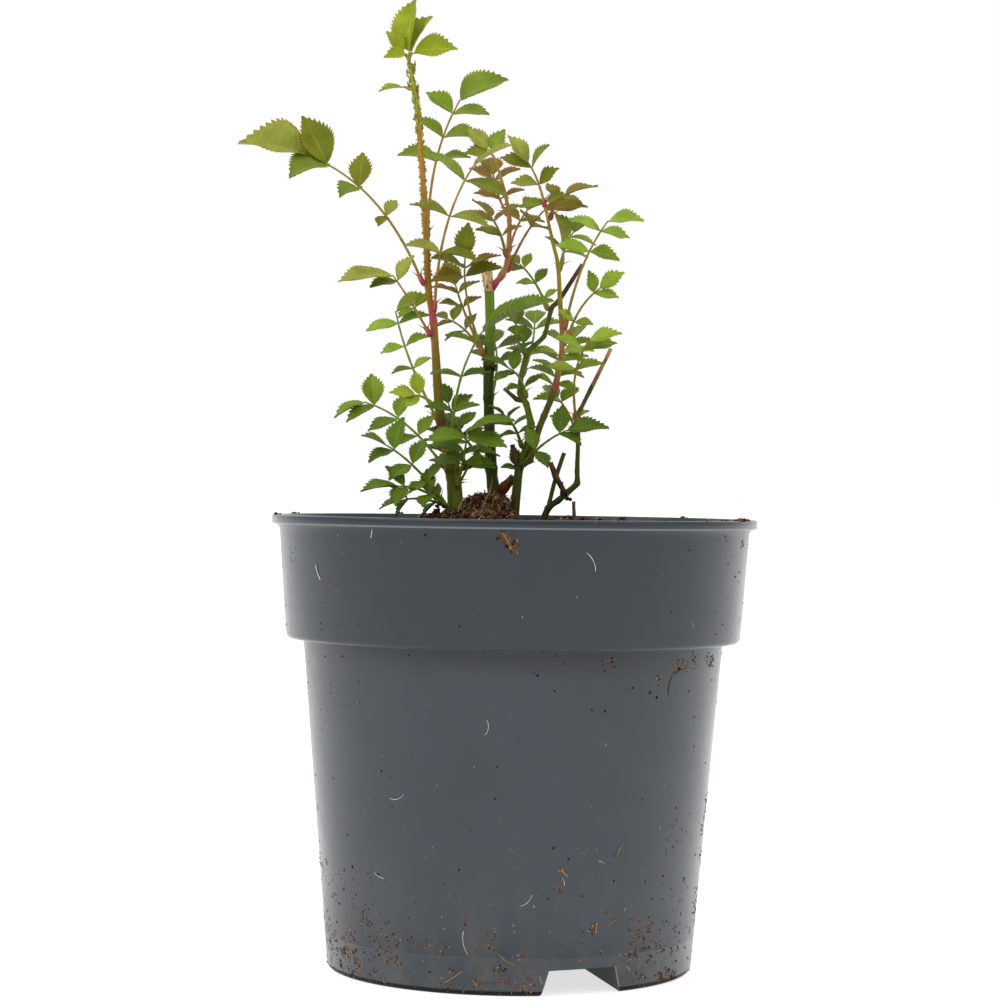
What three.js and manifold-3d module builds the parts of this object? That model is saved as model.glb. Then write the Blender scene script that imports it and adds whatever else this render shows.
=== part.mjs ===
// A young rose bush in its nursery pot, freshly pruned and leafing out again.
// Millimetres, +Z up, +X to the right, +Y away from the front. The origin is the middle of the
// pot's underside. Directions are given as a lean (degrees to the right of upright) and a depth
// (degrees away from the front).
import * as THREE from "three";
import { mergeVertices } from "three/addons/utils/BufferGeometryUtils.js";
import Module from "manifold-3d";

const wasm = await Module();
wasm.setup();

// ---- Driving dimensions -------------------------------------------------------------------

const GAP = 0.3; // clear space between neighbouring pieces
const LEAST_GAP = 0.27; // of a leaf to anything that doesn't carry it

const POT = {
  height: 176.5,
  lipRadius: 95.2,
  lipHeight: 3.6,
  lipFillet: 1.6, // under the lip
  lipEdge: 0.6, // the lip's rounded edges
  bandTopRadius: 92.5,
  bandBottomRadius: 89.1,
  bandHeight: 48,
  bandCorner: 2,
  bodyTopRadius: 82.3,
  footRadius: 71.3,
  footCorner: 1.8,
  wall: 1.5,
  innerStep: 2, // the inside's rounded step behind the ledge
  innerCorner: 1, // the inside's corner at the floor
  segments: 48,
};
const NOTCH = {
  count: 3,
  azimuth: -68.3, // of the first one, seen from above; the front is at -90
  height: 10,
  halfWidthTop: 11.8,
  halfWidthFoot: 14.4,
  spread: 0.2, // how much wider each side gets towards the middle, mm for each mm
  innerRadius: 18, // the flat pad in the middle of the underside
  drainRadius: 4,
  drainPlace: 46,
  drainSides: 12,
  below: 1, // how far the cutting shape reaches below the foot
  beyond: 10, // and past the wall
};
const SOIL = {
  level: 168.5, // at the wall
  mound: 16.3, // rise round the feet of the canes
  moundX: -7.5,
  moundY: -1,
  spreadLeft: 23,
  spreadRight: 9,
  spreadY: 22,
  steepness: 1.3, // of the mound's flanks
  lumpHeight: 0.7,
  slowLumps: 0.6, // the height of the slow lumps, as a share of the others
  lumpTurns: [0.31, 0.27, 0.13, 0.19], // how fast the lumps come and go, radians for each mm
  socket: 5, // how deep a cane stands in it
  clearance: 0.7, // round a cane's foot
  floor: -5, // the bottom of the shape that the pot's room is filled from
  rings: [7, 15, 24, 40],
  segments: 20,
};

// Limbs: foot [x, y, z], then internodes [length, lean, depth], with the radius at each joint.
const LIMBS = {
  cane_left: {
    foot: [-22.3, -6, 172],
    colour: 0x8a7d3c,
    run: [
      [23, -5, 0], [20, -14, 0], [38, -5, 1], [14, -9, 2], [27.5, -3, 2],
      [27.5, -5, 1], [16, -5, 0], [17, -11, -2],
    ],
    radii: [3.3, 2.9, 1.9, 1.45, 1.3, 1.2, 1, 0.9, 0.8],
  },
  cane_middle: {
    foot: [-5.2, 4, 173],
    colour: 0x3a6128,
    run: [[11, -9, 0], [12, -8, 0], [27.5, -3, 1], [14, 0, 0], [14, 1, 0], [14.5, -2, 0]],
    radii: [3, 2.7, 2.3, 2, 2.2, 1.9, 1.9],
  },
  stub_middle: {
    from: ["cane_middle", "tip"],
    colour: 0xb59a78,
    run: [[6, -9, 0], [8, -15, 0]],
    radii: [2, 1.9, 1.7],
  },
  sprout_middle: {
    from: ["cane_middle", 188, 90, -20],
    colour: 0x7a4a35,
    run: [[5, 45, -12]],
    radii: [1.9, 1.7],
  },
  shoot_red: {
    from: ["stub_middle", 268.6, 90, -25],
    colour: 0xb06a50,
    run: [[3.5, 38, 0], [6, 20, 0], [16, 2, 2], [11, -10, 4], [13, -16, 6]],
    radii: [1.2, 1.35, 1, 0.9, 0.7, 0.5],
  },
  cane_zigzag: {
    foot: [-1, -4, 173],
    colour: 0x33551f,
    run: [
      [23, 5, 0], [10, 22, 3], [8, 5, 3], [8, -14, 2], [5, -30, 0], [7, 3, 0], [9.5, 15, 0],
      [9, 45, 2], [11.5, 14, 2], [4, 45, 2], [17, 32, 0],
    ],
    radii: [2, 1.7, 1.7, 1.4, 1.2, 1.2, 1, 1.1, 0.9, 0.9, 0.95, 0.8],
  },
  stub_zigzag_low: {
    from: ["cane_zigzag", 198, -90, -30],
    colour: 0x6d5a3a,
    run: [[6, -12, 0]],
    radii: [1.1, 1],
  },
  stub_zigzag_high: {
    from: ["cane_zigzag", 224, -90, 0],
    colour: 0x70503a,
    run: [[6.5, -50, 0]],
    radii: [0.9, 0.7],
  },
  cane_olive: {
    from: ["cane_zigzag", 200, 90, -35],
    colour: 0x7a7a35,
    run: [[9, 14, -2], [9, 20, -2], [11, 22, -1]],
    radii: [1.4, 1.35, 1.25, 1.2],
  },
  shoot_olive: {
    from: ["cane_olive", "tip"],
    colour: 0x9a8a3c,
    run: [[6, 8, -4], [12, 7, -7], [16, -4, -5], [14, -4, 1], [10, -13, 4], [13.3, -13, 4]],
    radii: [1.2, 1.1, 1.05, 0.9, 0.8, 0.65, 0.5],
  },
  cane_right: {
    foot: [8.6, -2, 174],
    colour: 0x2f5220,
    run: [[7, 22, 0], [5, 52, 0], [5.5, 48, 0], [4.5, 45, 0], [5, 0, 0], [12, 1, 0], [10, 0, 0]],
    radii: [1.5, 1.3, 1.2, 1.1, 1.2, 0.9, 0.85, 0.95],
  },
  stub_right: {
    from: ["cane_right", "tip"],
    colour: 0x8a6448,
    run: [[28.5, 26, 0]],
    radii: [0.85, 0.75],
  },
  stub_right_inner: {
    from: ["cane_right", 181.5, 0, 35],
    colour: 0x3f6228,
    run: [[10, 14, 8], [10, 18, 0]],
    radii: [0.85, 0.85, 0.85],
  },
  stub_right_dead: {
    from: ["cane_right", 186, -70, -35],
    colour: 0x6a5038,
    run: [[6, -30, -8], [6, -22, 0]],
    radii: [1, 1.15, 1],
  },
  stub_far: {
    foot: [24.5, 6, 171],
    colour: 0x7a6040,
    run: [[6, -4, 0], [6, -3, 0]],
    radii: [0.8, 0.7, 0.7],
  },
};

// Foliage: each mass hangs on one limb at one height and holds one or more compound leaves.
// lean and depth: of the stalk at its start and its end; reach: its length; bare: the share of it
// without leaflets; pairs: of leaflets; size: of the first and last of them; tip: the end leaflet;
// spread: angle of the first and last pair; wing: the way the second row of leaflets points;
// sky: the way the upper faces look.
const FOLIAGE = {
  leaves_crown: {
    on: ["cane_left", "tip"],
    leaves: [
      { lean: [-6, 4], depth: [-4, 2], reach: 4, bare: 1, pairs: 0, size: [1, 1], tip: 20,
        end: [-1, 4], spread: [60, 60], wing: [90, 0], sky: [-58, -44] },
      { lean: [0, 20], depth: [4, 12], reach: 4, bare: 1, pairs: 0, size: [1, 1], tip: 18.5,
        end: [20, 10], spread: [60, 60], wing: [90, 0], sky: [-50, -44] },
      { lean: [0, 50], depth: [-6, -14], reach: 4, bare: 1, pairs: 0, size: [1, 1], tip: 16,
        end: [78, -14], spread: [60, 60], wing: [90, 0], sky: [-20, -48] },
      { lean: [-20, -60], depth: [-5, -16], reach: 4, bare: 1, pairs: 0, size: [1, 1], tip: 10,
        end: [-34, -10], spread: [60, 60], wing: [90, 0], sky: [10, -55] },
      { lean: [-12, -40], depth: [-10, -60], reach: 4, bare: 1, pairs: 0, size: [1, 1], tip: 9.5,
        end: [-98, -30], spread: [60, 60], wing: [90, 0], sky: [0, -60] },
    ],
  },
  leaf_crown_low: {
    on: ["cane_left", 344],
    leaves: [
      { lean: [-60, -95], depth: [-10, -10], reach: 2.5, bare: 1, pairs: 0, size: [8, 8], tip: 9,
        spread: [70, 50], wing: [0, 40], sky: [0, -30] },
    ],
  },
  leaf_left_high: {
    on: ["cane_left", 267],
    leaves: [
      { lean: [-25, -72], depth: [-16, -22], reach: 69, bare: 0.45, pairs: 3, size: [8, 21],
        tip: 26, end: [-72, -14], spread: [78, 38], wing: [25, 38], sky: [-10, -46] },
    ],
  },
  leaf_inner_high: {
    on: ["cane_left", 285],
    leaves: [
      { lean: [1, 28], depth: [30, 18], reach: 67, bare: 0.56, pairs: 3, size: [14, 15], tip: 23,
        end: [56, 6], spread: [80, 64], wing: [90, -10], sky: [0, -32] },
    ],
  },
  leaf_inner_middle: {
    on: ["cane_left", 256],
    leaves: [
      { lean: [3, 33], depth: [-26, -20], reach: 62, bare: 0.4, pairs: 3, size: [14, 18], tip: 19,
        end: [50, -30], spread: [82, 72], wing: [90, -15], sky: [0, -26] },
    ],
  },
  leaf_left_arch: {
    on: ["cane_left", 247],
    leaves: [
      { lean: [-31, -38], depth: [-32, -38], reach: 32, bare: 0.45, pairs: 2, size: [8, 12],
        tip: 20, end: [-88, -26], spread: [75, 60], wing: [60, 20], sky: [-14, -32] },
    ],
  },
  leaf_left_long: {
    on: ["cane_left", 214],
    leaves: [
      { lean: [-28, -12], depth: [30, 24], reach: 54, bare: 0.5, pairs: 3, size: [8, 12],
        tip: 16, end: [56, 10], spread: [78, 82], wing: [90, -10], sky: [-5, -30] },
    ],
  },
  leaf_left_yellow: {
    on: ["cane_left", 221],
    leaves: [
      { lean: [-55, -80], depth: [-14, -18], reach: 7, bare: 0.8, pairs: 1, size: [9, 9], tip: 10,
        spread: [60, 60], wing: [0, 20], sky: [-5, -40] },
    ],
  },
  leaf_left_low: {
    on: ["cane_left", 196],
    leaves: [
      { lean: [-37, -74], depth: [22, 18], reach: 45, bare: 0.4, pairs: 3, size: [10, 13],
        tip: 14, end: [-108, -5], spread: [75, 62], wing: [40, 14], sky: [-10, -30] },
    ],
  },
  leaves_foot_left: {
    on: ["cane_left", 181],
    leaves: [
      { lean: [-36, -60], depth: [-18, -24], reach: 35, bare: 0.35, pairs: 3, size: [10, 12],
        tip: 11, spread: [65, 60], wing: [20, 10], sky: [-10, -25] },
      { lean: [-52, -92], depth: [-35, -20], reach: 23, bare: 0.4, pairs: 2, size: [10, 11],
        tip: 14, spread: [60, 55], wing: [0, 35], sky: [-10, -25] },
      { lean: [-70, -104], depth: [-6, -6], reach: 17, bare: 0.25, pairs: 2, size: [8, 8],
        tip: 9, spread: [60, 50], wing: [0, -20], sky: [-10, -20] },
    ],
  },
  leaves_foot_front: {
    on: ["cane_left", 188],
    leaves: [
      { lean: [14, 3], depth: [-44, -22], reach: 27, bare: 0.45, pairs: 3, size: [12, 15],
        tip: 19, end: [66, -20], spread: [86, 84], wing: [90, -10], sky: [0, -28] },
      { lean: [30, 24], depth: [-30, -40], reach: 16, bare: 0.5, pairs: 1, size: [10, 10],
        tip: 12, spread: [60, 60], wing: [90, 0], sky: [0, -40] },
    ],
  },
  leaf_middle_long: {
    on: ["cane_left", 203],
    leaves: [
      { lean: [2, 34], depth: [-30, -30], reach: 53, bare: 0.3, pairs: 3, size: [11, 11], tip: 29,
        end: [55, -18], spread: [75, 85], wing: [90, 15], sky: [0, -20] },
    ],
  },
  leaf_foot_back: {
    on: ["cane_left", 187],
    leaves: [
      { lean: [6, -12], depth: [52, 40], reach: 32, bare: 0.35, pairs: 3, size: [10, 13], tip: 14,
        spread: [70, 60], wing: [90, 0], sky: [0, 20] },
    ],
  },
  leaves_middle_shoot: {
    on: ["cane_middle", 240],
    leaves: [
      { lean: [-22, 4], depth: [-22, -18], reach: 41, bare: 0.82, pairs: 2, size: [14, 15], tip: 13,
        spread: [70, 60], wing: [90, 15], sky: [0, -30] },
      { lean: [-26, -16], depth: [18, 22], reach: 32, bare: 0.7, pairs: 2, size: [9, 10], tip: 12,
        spread: [70, 60], wing: [90, 20], sky: [0, -20] },
      { lean: [-30, -66], depth: [34, 40], reach: 26, bare: 0.6, pairs: 2, size: [8, 8], tip: 9,
        spread: [70, 60], wing: [30, 20], sky: [0, -10] },
    ],
  },
  leaf_red_top: {
    on: ["shoot_red", "tip"],
    leaves: [
      { lean: [-30, -40], depth: [8, 5], reach: 5, bare: 0.6, pairs: 1, size: [11, 11], tip: 12,
        spread: [60, 60], wing: [80, 10], sky: [0, -50] },
    ],
  },
  leaf_red_dark: {
    on: ["shoot_red", 274],
    leaves: [
      { lean: [22, 42], depth: [2, 6], reach: 28, bare: 0.6, pairs: 1, size: [9, 11], tip: 18,
        end: [74, 4], spread: [70, 60], wing: [60, 30], sky: [0, -30] },
    ],
  },
  leaf_red_right: {
    on: ["shoot_red", 281],
    leaves: [
      { lean: [14, 34], depth: [54, 46], reach: 33, bare: 0.65, pairs: 1, size: [9, 10], tip: 14,
        spread: [70, 60], wing: [90, 20], sky: [0, -25] },
    ],
  },
  leaf_red_left: {
    on: ["shoot_red", 279],
    leaves: [
      { lean: [-14, -40], depth: [-42, -46], reach: 21, bare: 0.5, pairs: 2, size: [9, 12],
        tip: 13, spread: [65, 60], wing: [80, -10], sky: [0, -25] },
    ],
  },
  leaf_red_back: {
    on: ["shoot_red", 296],
    leaves: [
      { lean: [-24, -6], depth: [56, 42], reach: 30, bare: 0.45, pairs: 2, size: [10, 11],
        tip: 13, spread: [65, 60], wing: [90, 0], sky: [0, 20] },
    ],
  },
  leaf_olive_top: {
    on: ["shoot_olive", "tip"],
    leaves: [
      { lean: [-14, -34], depth: [-8, -14], reach: 18, bare: 0.1, pairs: 3, size: [10, 12],
        tip: 14, spread: [75, 45], wing: [90, -20], sky: [0, -45] },
    ],
  },
  leaf_olive_bronze: {
    on: ["shoot_olive", 293],
    leaves: [
      { lean: [8, 66], depth: [24, 28], reach: 13.5, bare: 0.6, pairs: 1, size: [8, 9], tip: 15,
        spread: [70, 55], wing: [0, 40], sky: [0, -20] },
    ],
  },
  leaf_olive_blade: {
    on: ["shoot_olive", 275],
    leaves: [
      { lean: [8, -4], depth: [6, 2], reach: 5, bare: 1, pairs: 0, size: [8, 8], tip: 16,
        spread: [60, 60], wing: [90, 0], sky: [90, -20] },
    ],
  },
  leaf_right_high: {
    on: ["shoot_olive", 250],
    leaves: [
      { lean: [11, 36], depth: [-28, -34], reach: 50, bare: 0.7, pairs: 2, size: [12, 12],
        tip: 14, end: [80, -20], spread: [82, 80], wing: [75, -10], sky: [-10, -34] },
    ],
  },
  leaf_right_inner: {
    on: ["shoot_olive", 273],
    leaves: [
      { lean: [10, 34], depth: [40, 36], reach: 22, bare: 0.5, pairs: 2, size: [9, 10], tip: 12,
        spread: [75, 65], wing: [90, 30], sky: [0, -20] },
    ],
  },
  leaf_right_bright: {
    on: ["shoot_olive", 245],
    leaves: [
      { lean: [16, 54], depth: [-24, -20], reach: 26, bare: 0.35, pairs: 2, size: [7, 9],
        tip: 11.5, spread: [60, 45], wing: [0, -20], sky: [0, -45] },
    ],
  },
  leaf_right_light: {
    on: ["cane_right", 213],
    leaves: [
      { lean: [-12, 32], depth: [-36, -36], reach: 40, bare: 0.66, pairs: 2, size: [11, 12],
        tip: 13, end: [66, -15], spread: [75, 70], wing: [90, 10], sky: [0, -32] },
    ],
  },
  leaf_right_level: {
    on: ["cane_olive", 224],
    leaves: [
      { lean: [16, 10], depth: [18, 22], reach: 19, bare: 0.25, pairs: 3, size: [9, 11],
        tip: 13, end: [76, 10], spread: [80, 82], wing: [90, 12], sky: [0, -22] },
    ],
  },
  leaf_right_back: {
    on: ["cane_olive", 222],
    leaves: [
      { lean: [14, 30], depth: [50, 44], reach: 40, bare: 0.4, pairs: 3, size: [10, 12],
        tip: 14, spread: [70, 60], wing: [90, 0], sky: [0, 15] },
    ],
  },
  leaf_zigzag_high: {
    on: ["cane_zigzag", 258],
    leaves: [
      { lean: [-20, -46], depth: [32, 28], reach: 25, bare: 0.2, pairs: 3, size: [7, 7], tip: 7,
        spread: [70, 60], wing: [0, 30], sky: [0, -32] },
    ],
  },
  leaf_zigzag_middle: {
    on: ["cane_zigzag", 240],
    leaves: [
      { lean: [-6, -44], depth: [-38, -44], reach: 17, bare: 0.3, pairs: 2, size: [9, 10], tip: 11,
        spread: [65, 60], wing: [0, 40], sky: [0, -20] },
    ],
  },
  leaf_zigzag_left: {
    on: ["cane_zigzag", 223],
    leaves: [
      { lean: [-12, -62], depth: [-24, -20], reach: 14, bare: 0.3, pairs: 2, size: [8, 9],
        tip: 10, spread: [65, 60], wing: [80, 20], sky: [0, -25] },
    ],
  },
  leaf_zigzag_low: {
    on: ["cane_zigzag", 203],
    leaves: [
      { lean: [-16, -52], depth: [-24, -30], reach: 16, bare: 0.4, pairs: 3, size: [7, 7],
        tip: 8, spread: [75, 60], wing: [80, -10], sky: [0, -22] },
    ],
  },
  leaf_right_low: {
    on: ["cane_zigzag", 196.5],
    leaves: [
      { lean: [38, 66], depth: [-50, -10], reach: 27, bare: 0.42, pairs: 2, size: [10, 11],
        tip: 15, end: [76, -8], spread: [70, 50], wing: [-20, 20], sky: [0, -26] },
    ],
  },
  leaf_sprout: {
    on: ["sprout_middle", "tip"],
    leaves: [
      { lean: [38, -20], depth: [-12, -20], reach: 4, bare: 0.9, pairs: 1, size: [7, 7], tip: 9,
        spread: [60, 60], wing: [80, 0], sky: [0, -40] },
    ],
  },
  leaf_right_joint: {
    on: ["cane_right", 210],
    leaves: [
      { lean: [-18, -40], depth: [42, 36], reach: 20, bare: 0.35, pairs: 2, size: [8, 10],
        tip: 11, spread: [65, 60], wing: [80, 20], sky: [0, -25] },
    ],
  },
  leaf_middle_low: {
    on: ["cane_middle", 199],
    leaves: [
      { lean: [-42, -16], depth: [10, 22], reach: 27, bare: 0.35, pairs: 3, size: [8, 10],
        tip: 12, spread: [70, 65], wing: [90, 10], sky: [0, -30] },
    ],
  },
  leaf_middle_back: {
    on: ["cane_middle", 222],
    leaves: [
      { lean: [14, -12], depth: [48, 50], reach: 38, bare: 0.4, pairs: 3, size: [9, 12],
        tip: 14, spread: [70, 65], wing: [90, 0], sky: [0, 25] },
    ],
  },
  leaf_zigzag_back: {
    on: ["cane_zigzag", 232],
    leaves: [
      { lean: [20, 2], depth: [46, 52], reach: 34, bare: 0.4, pairs: 2, size: [9, 11],
        tip: 13, spread: [70, 65], wing: [90, 0], sky: [0, 25] },
    ],
  },
};

const CANE = { sides: 8, thinSides: 6, thinBelow: 1.6 };
const STALK = { rootRadius: 0.75, tipRadius: 0.45, sides: 3, steps: 7, seat: 0.3 };
const LEAFLET = {
  width: 0.27, // half of its width, as a share of its length
  shoulders: [[0.32, 1], [0.7, 0.82]], // places along it, with their share of the half width
  thickness: 0.6, // at the midrib
  lift: 0.3, // how far a pair rises towards the sky from the plane of the leaf
  droop: 0.2, // how far the tip hangs below a straight line, as a share of the length
  sunk: 0.9, // the root's way past the stalk's axis
  lastPair: 0.9, // the place of the last pair on the stalk
  lonePair: 0.4, // the place of a lone pair between the bare part's end and there
  variety: 0.08, // in size
};
const BEND = 1.6; // a stalk bends mostly near its end
const JITTER = 7; // degrees
const LEAF_COLOURS = [0x5f8f38, 0x7c9a3c, 0x4d7f33, 0x8a7a3a];

// ---- Small helpers ------------------------------------------------------------------------

const rad = THREE.MathUtils.degToRad;
const mix = THREE.MathUtils.lerp;

function heading(lean, depth) {
  const [a, d] = [rad(lean), rad(depth)];
  return new THREE.Vector3(Math.sin(a) * Math.cos(d), Math.sin(d), Math.cos(a) * Math.cos(d));
}

// The same numbers on every run, between -1 and 1.
function seeded(seed) {
  let state = seed >>> 0;
  return () => {
    state = (Math.imul(state, 1664525) + 1013904223) >>> 0;
    return (state / 4294967296) * 2 - 1;
  };
}

function across(vector, axis) {
  return vector.clone().addScaledVector(axis, -vector.dot(axis)).normalize();
}

function geometryFrom(points, faces) {
  const geometry = new THREE.BufferGeometry().setFromPoints(points);
  geometry.setIndex(faces.flat());
  return geometry;
}

function solidFrom(geometry) {
  const bare = new THREE.BufferGeometry().setAttribute("position", geometry.attributes.position);
  if (geometry.index) bare.setIndex(geometry.index);
  const merged = mergeVertices(bare, 1e-4);
  return new wasm.Manifold(
    new wasm.Mesh({
      numProp: 3,
      vertProperties: new Float32Array(merged.attributes.position.array),
      triVerts: new Uint32Array(merged.index.array),
    }),
  );
}

function geometryOf(solid) {
  const mesh = solid.getMesh();
  const geometry = new THREE.BufferGeometry();
  geometry.setAttribute("position", new THREE.BufferAttribute(mesh.vertProperties, 3));
  geometry.setIndex(new THREE.BufferAttribute(mesh.triVerts, 1));
  const flat = geometry.toNonIndexed();
  flat.computeVertexNormals();
  return flat;
}

// A round solid of revolution about Z from [radius, height] pairs that start and end on the axis.
function turned(profile, segments) {
  const points = profile.map(([radius, height]) => new THREE.Vector2(radius, height));
  return solidFrom(new THREE.LatheGeometry(points, segments).rotateX(Math.PI / 2));
}

// A closed tapering tube through points, with a flat cut at both ends.
function taperedTube(points, radii, sides) {
  const tangents = points.map((_, i) =>
    points[Math.min(i + 1, points.length - 1)].clone()
      .sub(points[Math.max(i - 1, 0)])
      .normalize(),
  );
  let side = across(new THREE.Vector3(0, -1, 0.01), tangents[0]);
  const rings = points.map((point, i) => {
    side = across(side, tangents[i]);
    const other = tangents[i].clone().cross(side);
    return Array.from({ length: sides }, (_, k) => {
      const turn = (2 * Math.PI * k) / sides;
      return point.clone()
        .addScaledVector(side, radii[i] * Math.cos(turn))
        .addScaledVector(other, radii[i] * Math.sin(turn));
    });
  });
  const faces = [];
  for (let i = 0; i < rings.length - 1; i++)
    for (let k = 0; k < sides; k++) {
      const [a, b] = [i * sides + k, i * sides + ((k + 1) % sides)];
      faces.push([a, b, b + sides], [a, b + sides, a + sides]);
    }
  const last = (rings.length - 1) * sides;
  for (let k = 1; k < sides - 1; k++)
    faces.push([0, k + 1, k], [last, last + k, last + k + 1]);
  return solidFrom(geometryFrom(rings.flat(), faces));
}

// ---- The pot ------------------------------------------------------------------------------

// A quarter round between two directions, as profile points.
function rounded(centreRadius, centreHeight, radius, from, to) {
  return [0, 1 / 3, 2 / 3, 1].map((share) => {
    const angle = rad(mix(from, to, share));
    return [centreRadius + radius * Math.cos(angle), centreHeight + radius * Math.sin(angle)];
  });
}

const ledgeHeight = POT.height - POT.bandHeight;

// The outer radius of the body below the ledge, less an amount.
function bodyRadius(height, inset = 0) {
  return mix(POT.footRadius, POT.bodyTopRadius, height / ledgeHeight) - inset;
}

// The outer radius of the band above the ledge, less an amount.
function bandRadius(height, inset = 0) {
  const share = (height - ledgeHeight) / POT.bandHeight;
  return mix(POT.bandBottomRadius, POT.bandTopRadius, share) - inset;
}

// Copies of a solid, one for each notch, turned to their places about Z and joined.
function atNotches(solid) {
  const turns = Array.from({ length: NOTCH.count }, (_, i) => (360 * i) / NOTCH.count);
  return turns.map((turn) => solid.rotate([0, 0, NOTCH.azimuth + turn])).reduce((a, b) => a.add(b));
}

// The drainage channels that run in under the pot from the notches, grown by an amount.
function channels(grow) {
  const { halfWidthTop, halfWidthFoot, height, innerRadius, spread, below, beyond } = NOTCH;
  const section = (radius) => {
    const wider = Math.max((POT.footRadius - radius) * spread, 0) + grow;
    const [foot, top] = [halfWidthFoot + wider, halfWidthTop + wider];
    return [[-foot, -below], [foot, -below], [top, height + grow], [-top, height + grow]]
      .map(([y, z]) => new THREE.Vector3(radius, y, z));
  };
  const points = [...section(innerRadius - grow), ...section(POT.footRadius + beyond)];
  const faces = [[0, 2, 1], [0, 3, 2], [4, 5, 6], [4, 6, 7]];
  for (let a = 0; a < 4; a++) {
    const b = (a + 1) % 4;
    faces.push([a, b, b + 4], [a, b + 4, a + 4]);
  }
  return atNotches(solidFrom(geometryFrom(points, faces)));
}

// The room inside the pot, moved in from its walls by an amount, up to a height.
function insideProfile(clear, top) {
  const { wall, innerStep, innerCorner } = POT;
  const inset = wall + clear;
  const ledge = ledgeHeight + wall + clear;
  return [
    [0, inset],
    [bodyRadius(inset, inset) - innerCorner, inset],
    [bodyRadius(inset + innerCorner, inset), inset + innerCorner],
    [bodyRadius(ledgeHeight, inset), ledge - innerStep],
    [bodyRadius(ledgeHeight, inset) + innerStep / 2, ledge],
    [bandRadius(ledge, inset) - innerStep / 2, ledge],
    [bandRadius(ledge, inset), ledge + innerStep / 2],
    [bandRadius(top, inset), top],
    [0, top],
  ];
}

function makePot() {
  const { height, wall, segments, lipRadius, lipFillet, lipEdge, bandCorner, footCorner } = POT;
  const band = bandRadius(ledgeHeight);
  const underLip = height - POT.lipHeight;
  const outside = turned([
    [0, 0],
    ...rounded(POT.footRadius - footCorner, footCorner, footCorner, -90, 0),
    [bodyRadius(ledgeHeight), ledgeHeight],
    ...rounded(band - bandCorner, ledgeHeight + bandCorner, bandCorner, -90, 0),
    [bandRadius(underLip - lipFillet), underLip - lipFillet],
    [bandRadius(underLip) + lipFillet / 3, underLip - lipFillet / 4],
    [lipRadius - lipEdge, underLip],
    [lipRadius, underLip + lipEdge],
    [lipRadius, height - lipEdge],
    [lipRadius - lipEdge, height],
    [0, height],
  ], segments);
  const room = turned(insideProfile(0, height + NOTCH.beyond), segments).subtract(channels(wall));
  const drain = new THREE.CylinderGeometry(NOTCH.drainRadius, NOTCH.drainRadius, 4 * wall, NOTCH.drainSides)
    .rotateX(Math.PI / 2)
    .translate(NOTCH.drainPlace, 0, NOTCH.height + wall / 2);
  const shell = outside.subtract(room).subtract(channels(0));
  return shell.subtract(atNotches(solidFrom(drain)));
}

// ---- The potting soil ---------------------------------------------------------------------

function soilHeight(x, y) {
  const { level, mound, moundX, moundY, spreadLeft, spreadRight, spreadY, steepness } = SOIL;
  const spread = x < moundX ? spreadLeft : spreadRight;
  const away = ((x - moundX) / spread) ** 2 + ((y - moundY) / spreadY) ** 2;
  const [a, b, c, d] = SOIL.lumpTurns;
  const lumps = Math.sin(x * a) * Math.cos(y * b) + SOIL.slowLumps * Math.sin(x * c - y * d);
  return level + mound * Math.exp(-(away ** steepness)) + SOIL.lumpHeight * lumps;
}

// The soil fills the pot's room up to its uneven top and leaves a socket for each foot.
function makeSoil(sockets) {
  const radii = [...SOIL.rings, POT.lipRadius];
  const points = [new THREE.Vector3(0, 0, soilHeight(0, 0))];
  for (const radius of radii)
    for (let k = 0; k < SOIL.segments; k++) {
      const turn = (2 * Math.PI * k) / SOIL.segments;
      const [x, y] = [radius * Math.cos(turn), radius * Math.sin(turn)];
      points.push(new THREE.Vector3(x, y, soilHeight(x, y)));
    }
  const top = points.length;
  const at = (ring, k) => 1 + ring * SOIL.segments + (k % SOIL.segments);
  const faces = [];
  for (let k = 0; k < SOIL.segments; k++) {
    faces.push([0, at(0, k), at(0, k + 1)]);
    for (let ring = 0; ring < radii.length - 1; ring++)
      faces.push(
        [at(ring, k), at(ring + 1, k), at(ring + 1, k + 1)],
        [at(ring, k), at(ring + 1, k + 1), at(ring, k + 1)],
      );
    const [a, b] = [at(radii.length - 1, k), at(radii.length - 1, k + 1)];
    const [c, d] = [top + k, top + ((k + 1) % SOIL.segments)];
    faces.push([a, c, d], [a, d, b], [top + SOIL.segments, d, c]);
  }
  for (let k = 0; k < SOIL.segments; k++) {
    const outer = points[at(radii.length - 1, k)];
    points.push(new THREE.Vector3(outer.x, outer.y, SOIL.floor));
  }
  points.push(new THREE.Vector3(0, 0, SOIL.floor));
  const room = turned(insideProfile(GAP, POT.height + SOIL.mound), POT.segments);
  const soil = solidFrom(geometryFrom(points, faces)).intersect(room);
  return sockets.reduce((rest, hole) => rest.subtract(hole), soil.subtract(channels(POT.wall + GAP)));
}

// ---- Canes, shoots and pruned stubs -------------------------------------------------------

const limbs = {};

// The axis point, direction and radius of a limb at a height, or at its tip.
function onLimb(name, where) {
  const { points, radii } = limbs[name];
  const last = points.length - 1;
  if (where === "tip")
    return {
      point: points[last].clone(),
      along: points[last].clone().sub(points[last - 1]).normalize(),
      radius: radii[last],
      tip: true,
    };
  const i = Math.max(0, points.findIndex((point, k) => k < last && points[k + 1].z >= where));
  const share = (where - points[i].z) / (points[i + 1].z - points[i].z);
  return {
    point: points[i].clone().lerp(points[i + 1], share),
    along: points[i + 1].clone().sub(points[i]).normalize(),
    radius: mix(radii[i], radii[i + 1], share),
    tip: false,
  };
}

// Where something of a radius starts, just clear of the limb that carries it.
function seat(place, way, radius) {
  const { point, along, radius: limbRadius, tip } = place;
  if (tip) return point.clone().addScaledVector(along, GAP + STALK.seat * radius);
  return point.clone().addScaledVector(across(way, along), limbRadius + radius + GAP);
}

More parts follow.
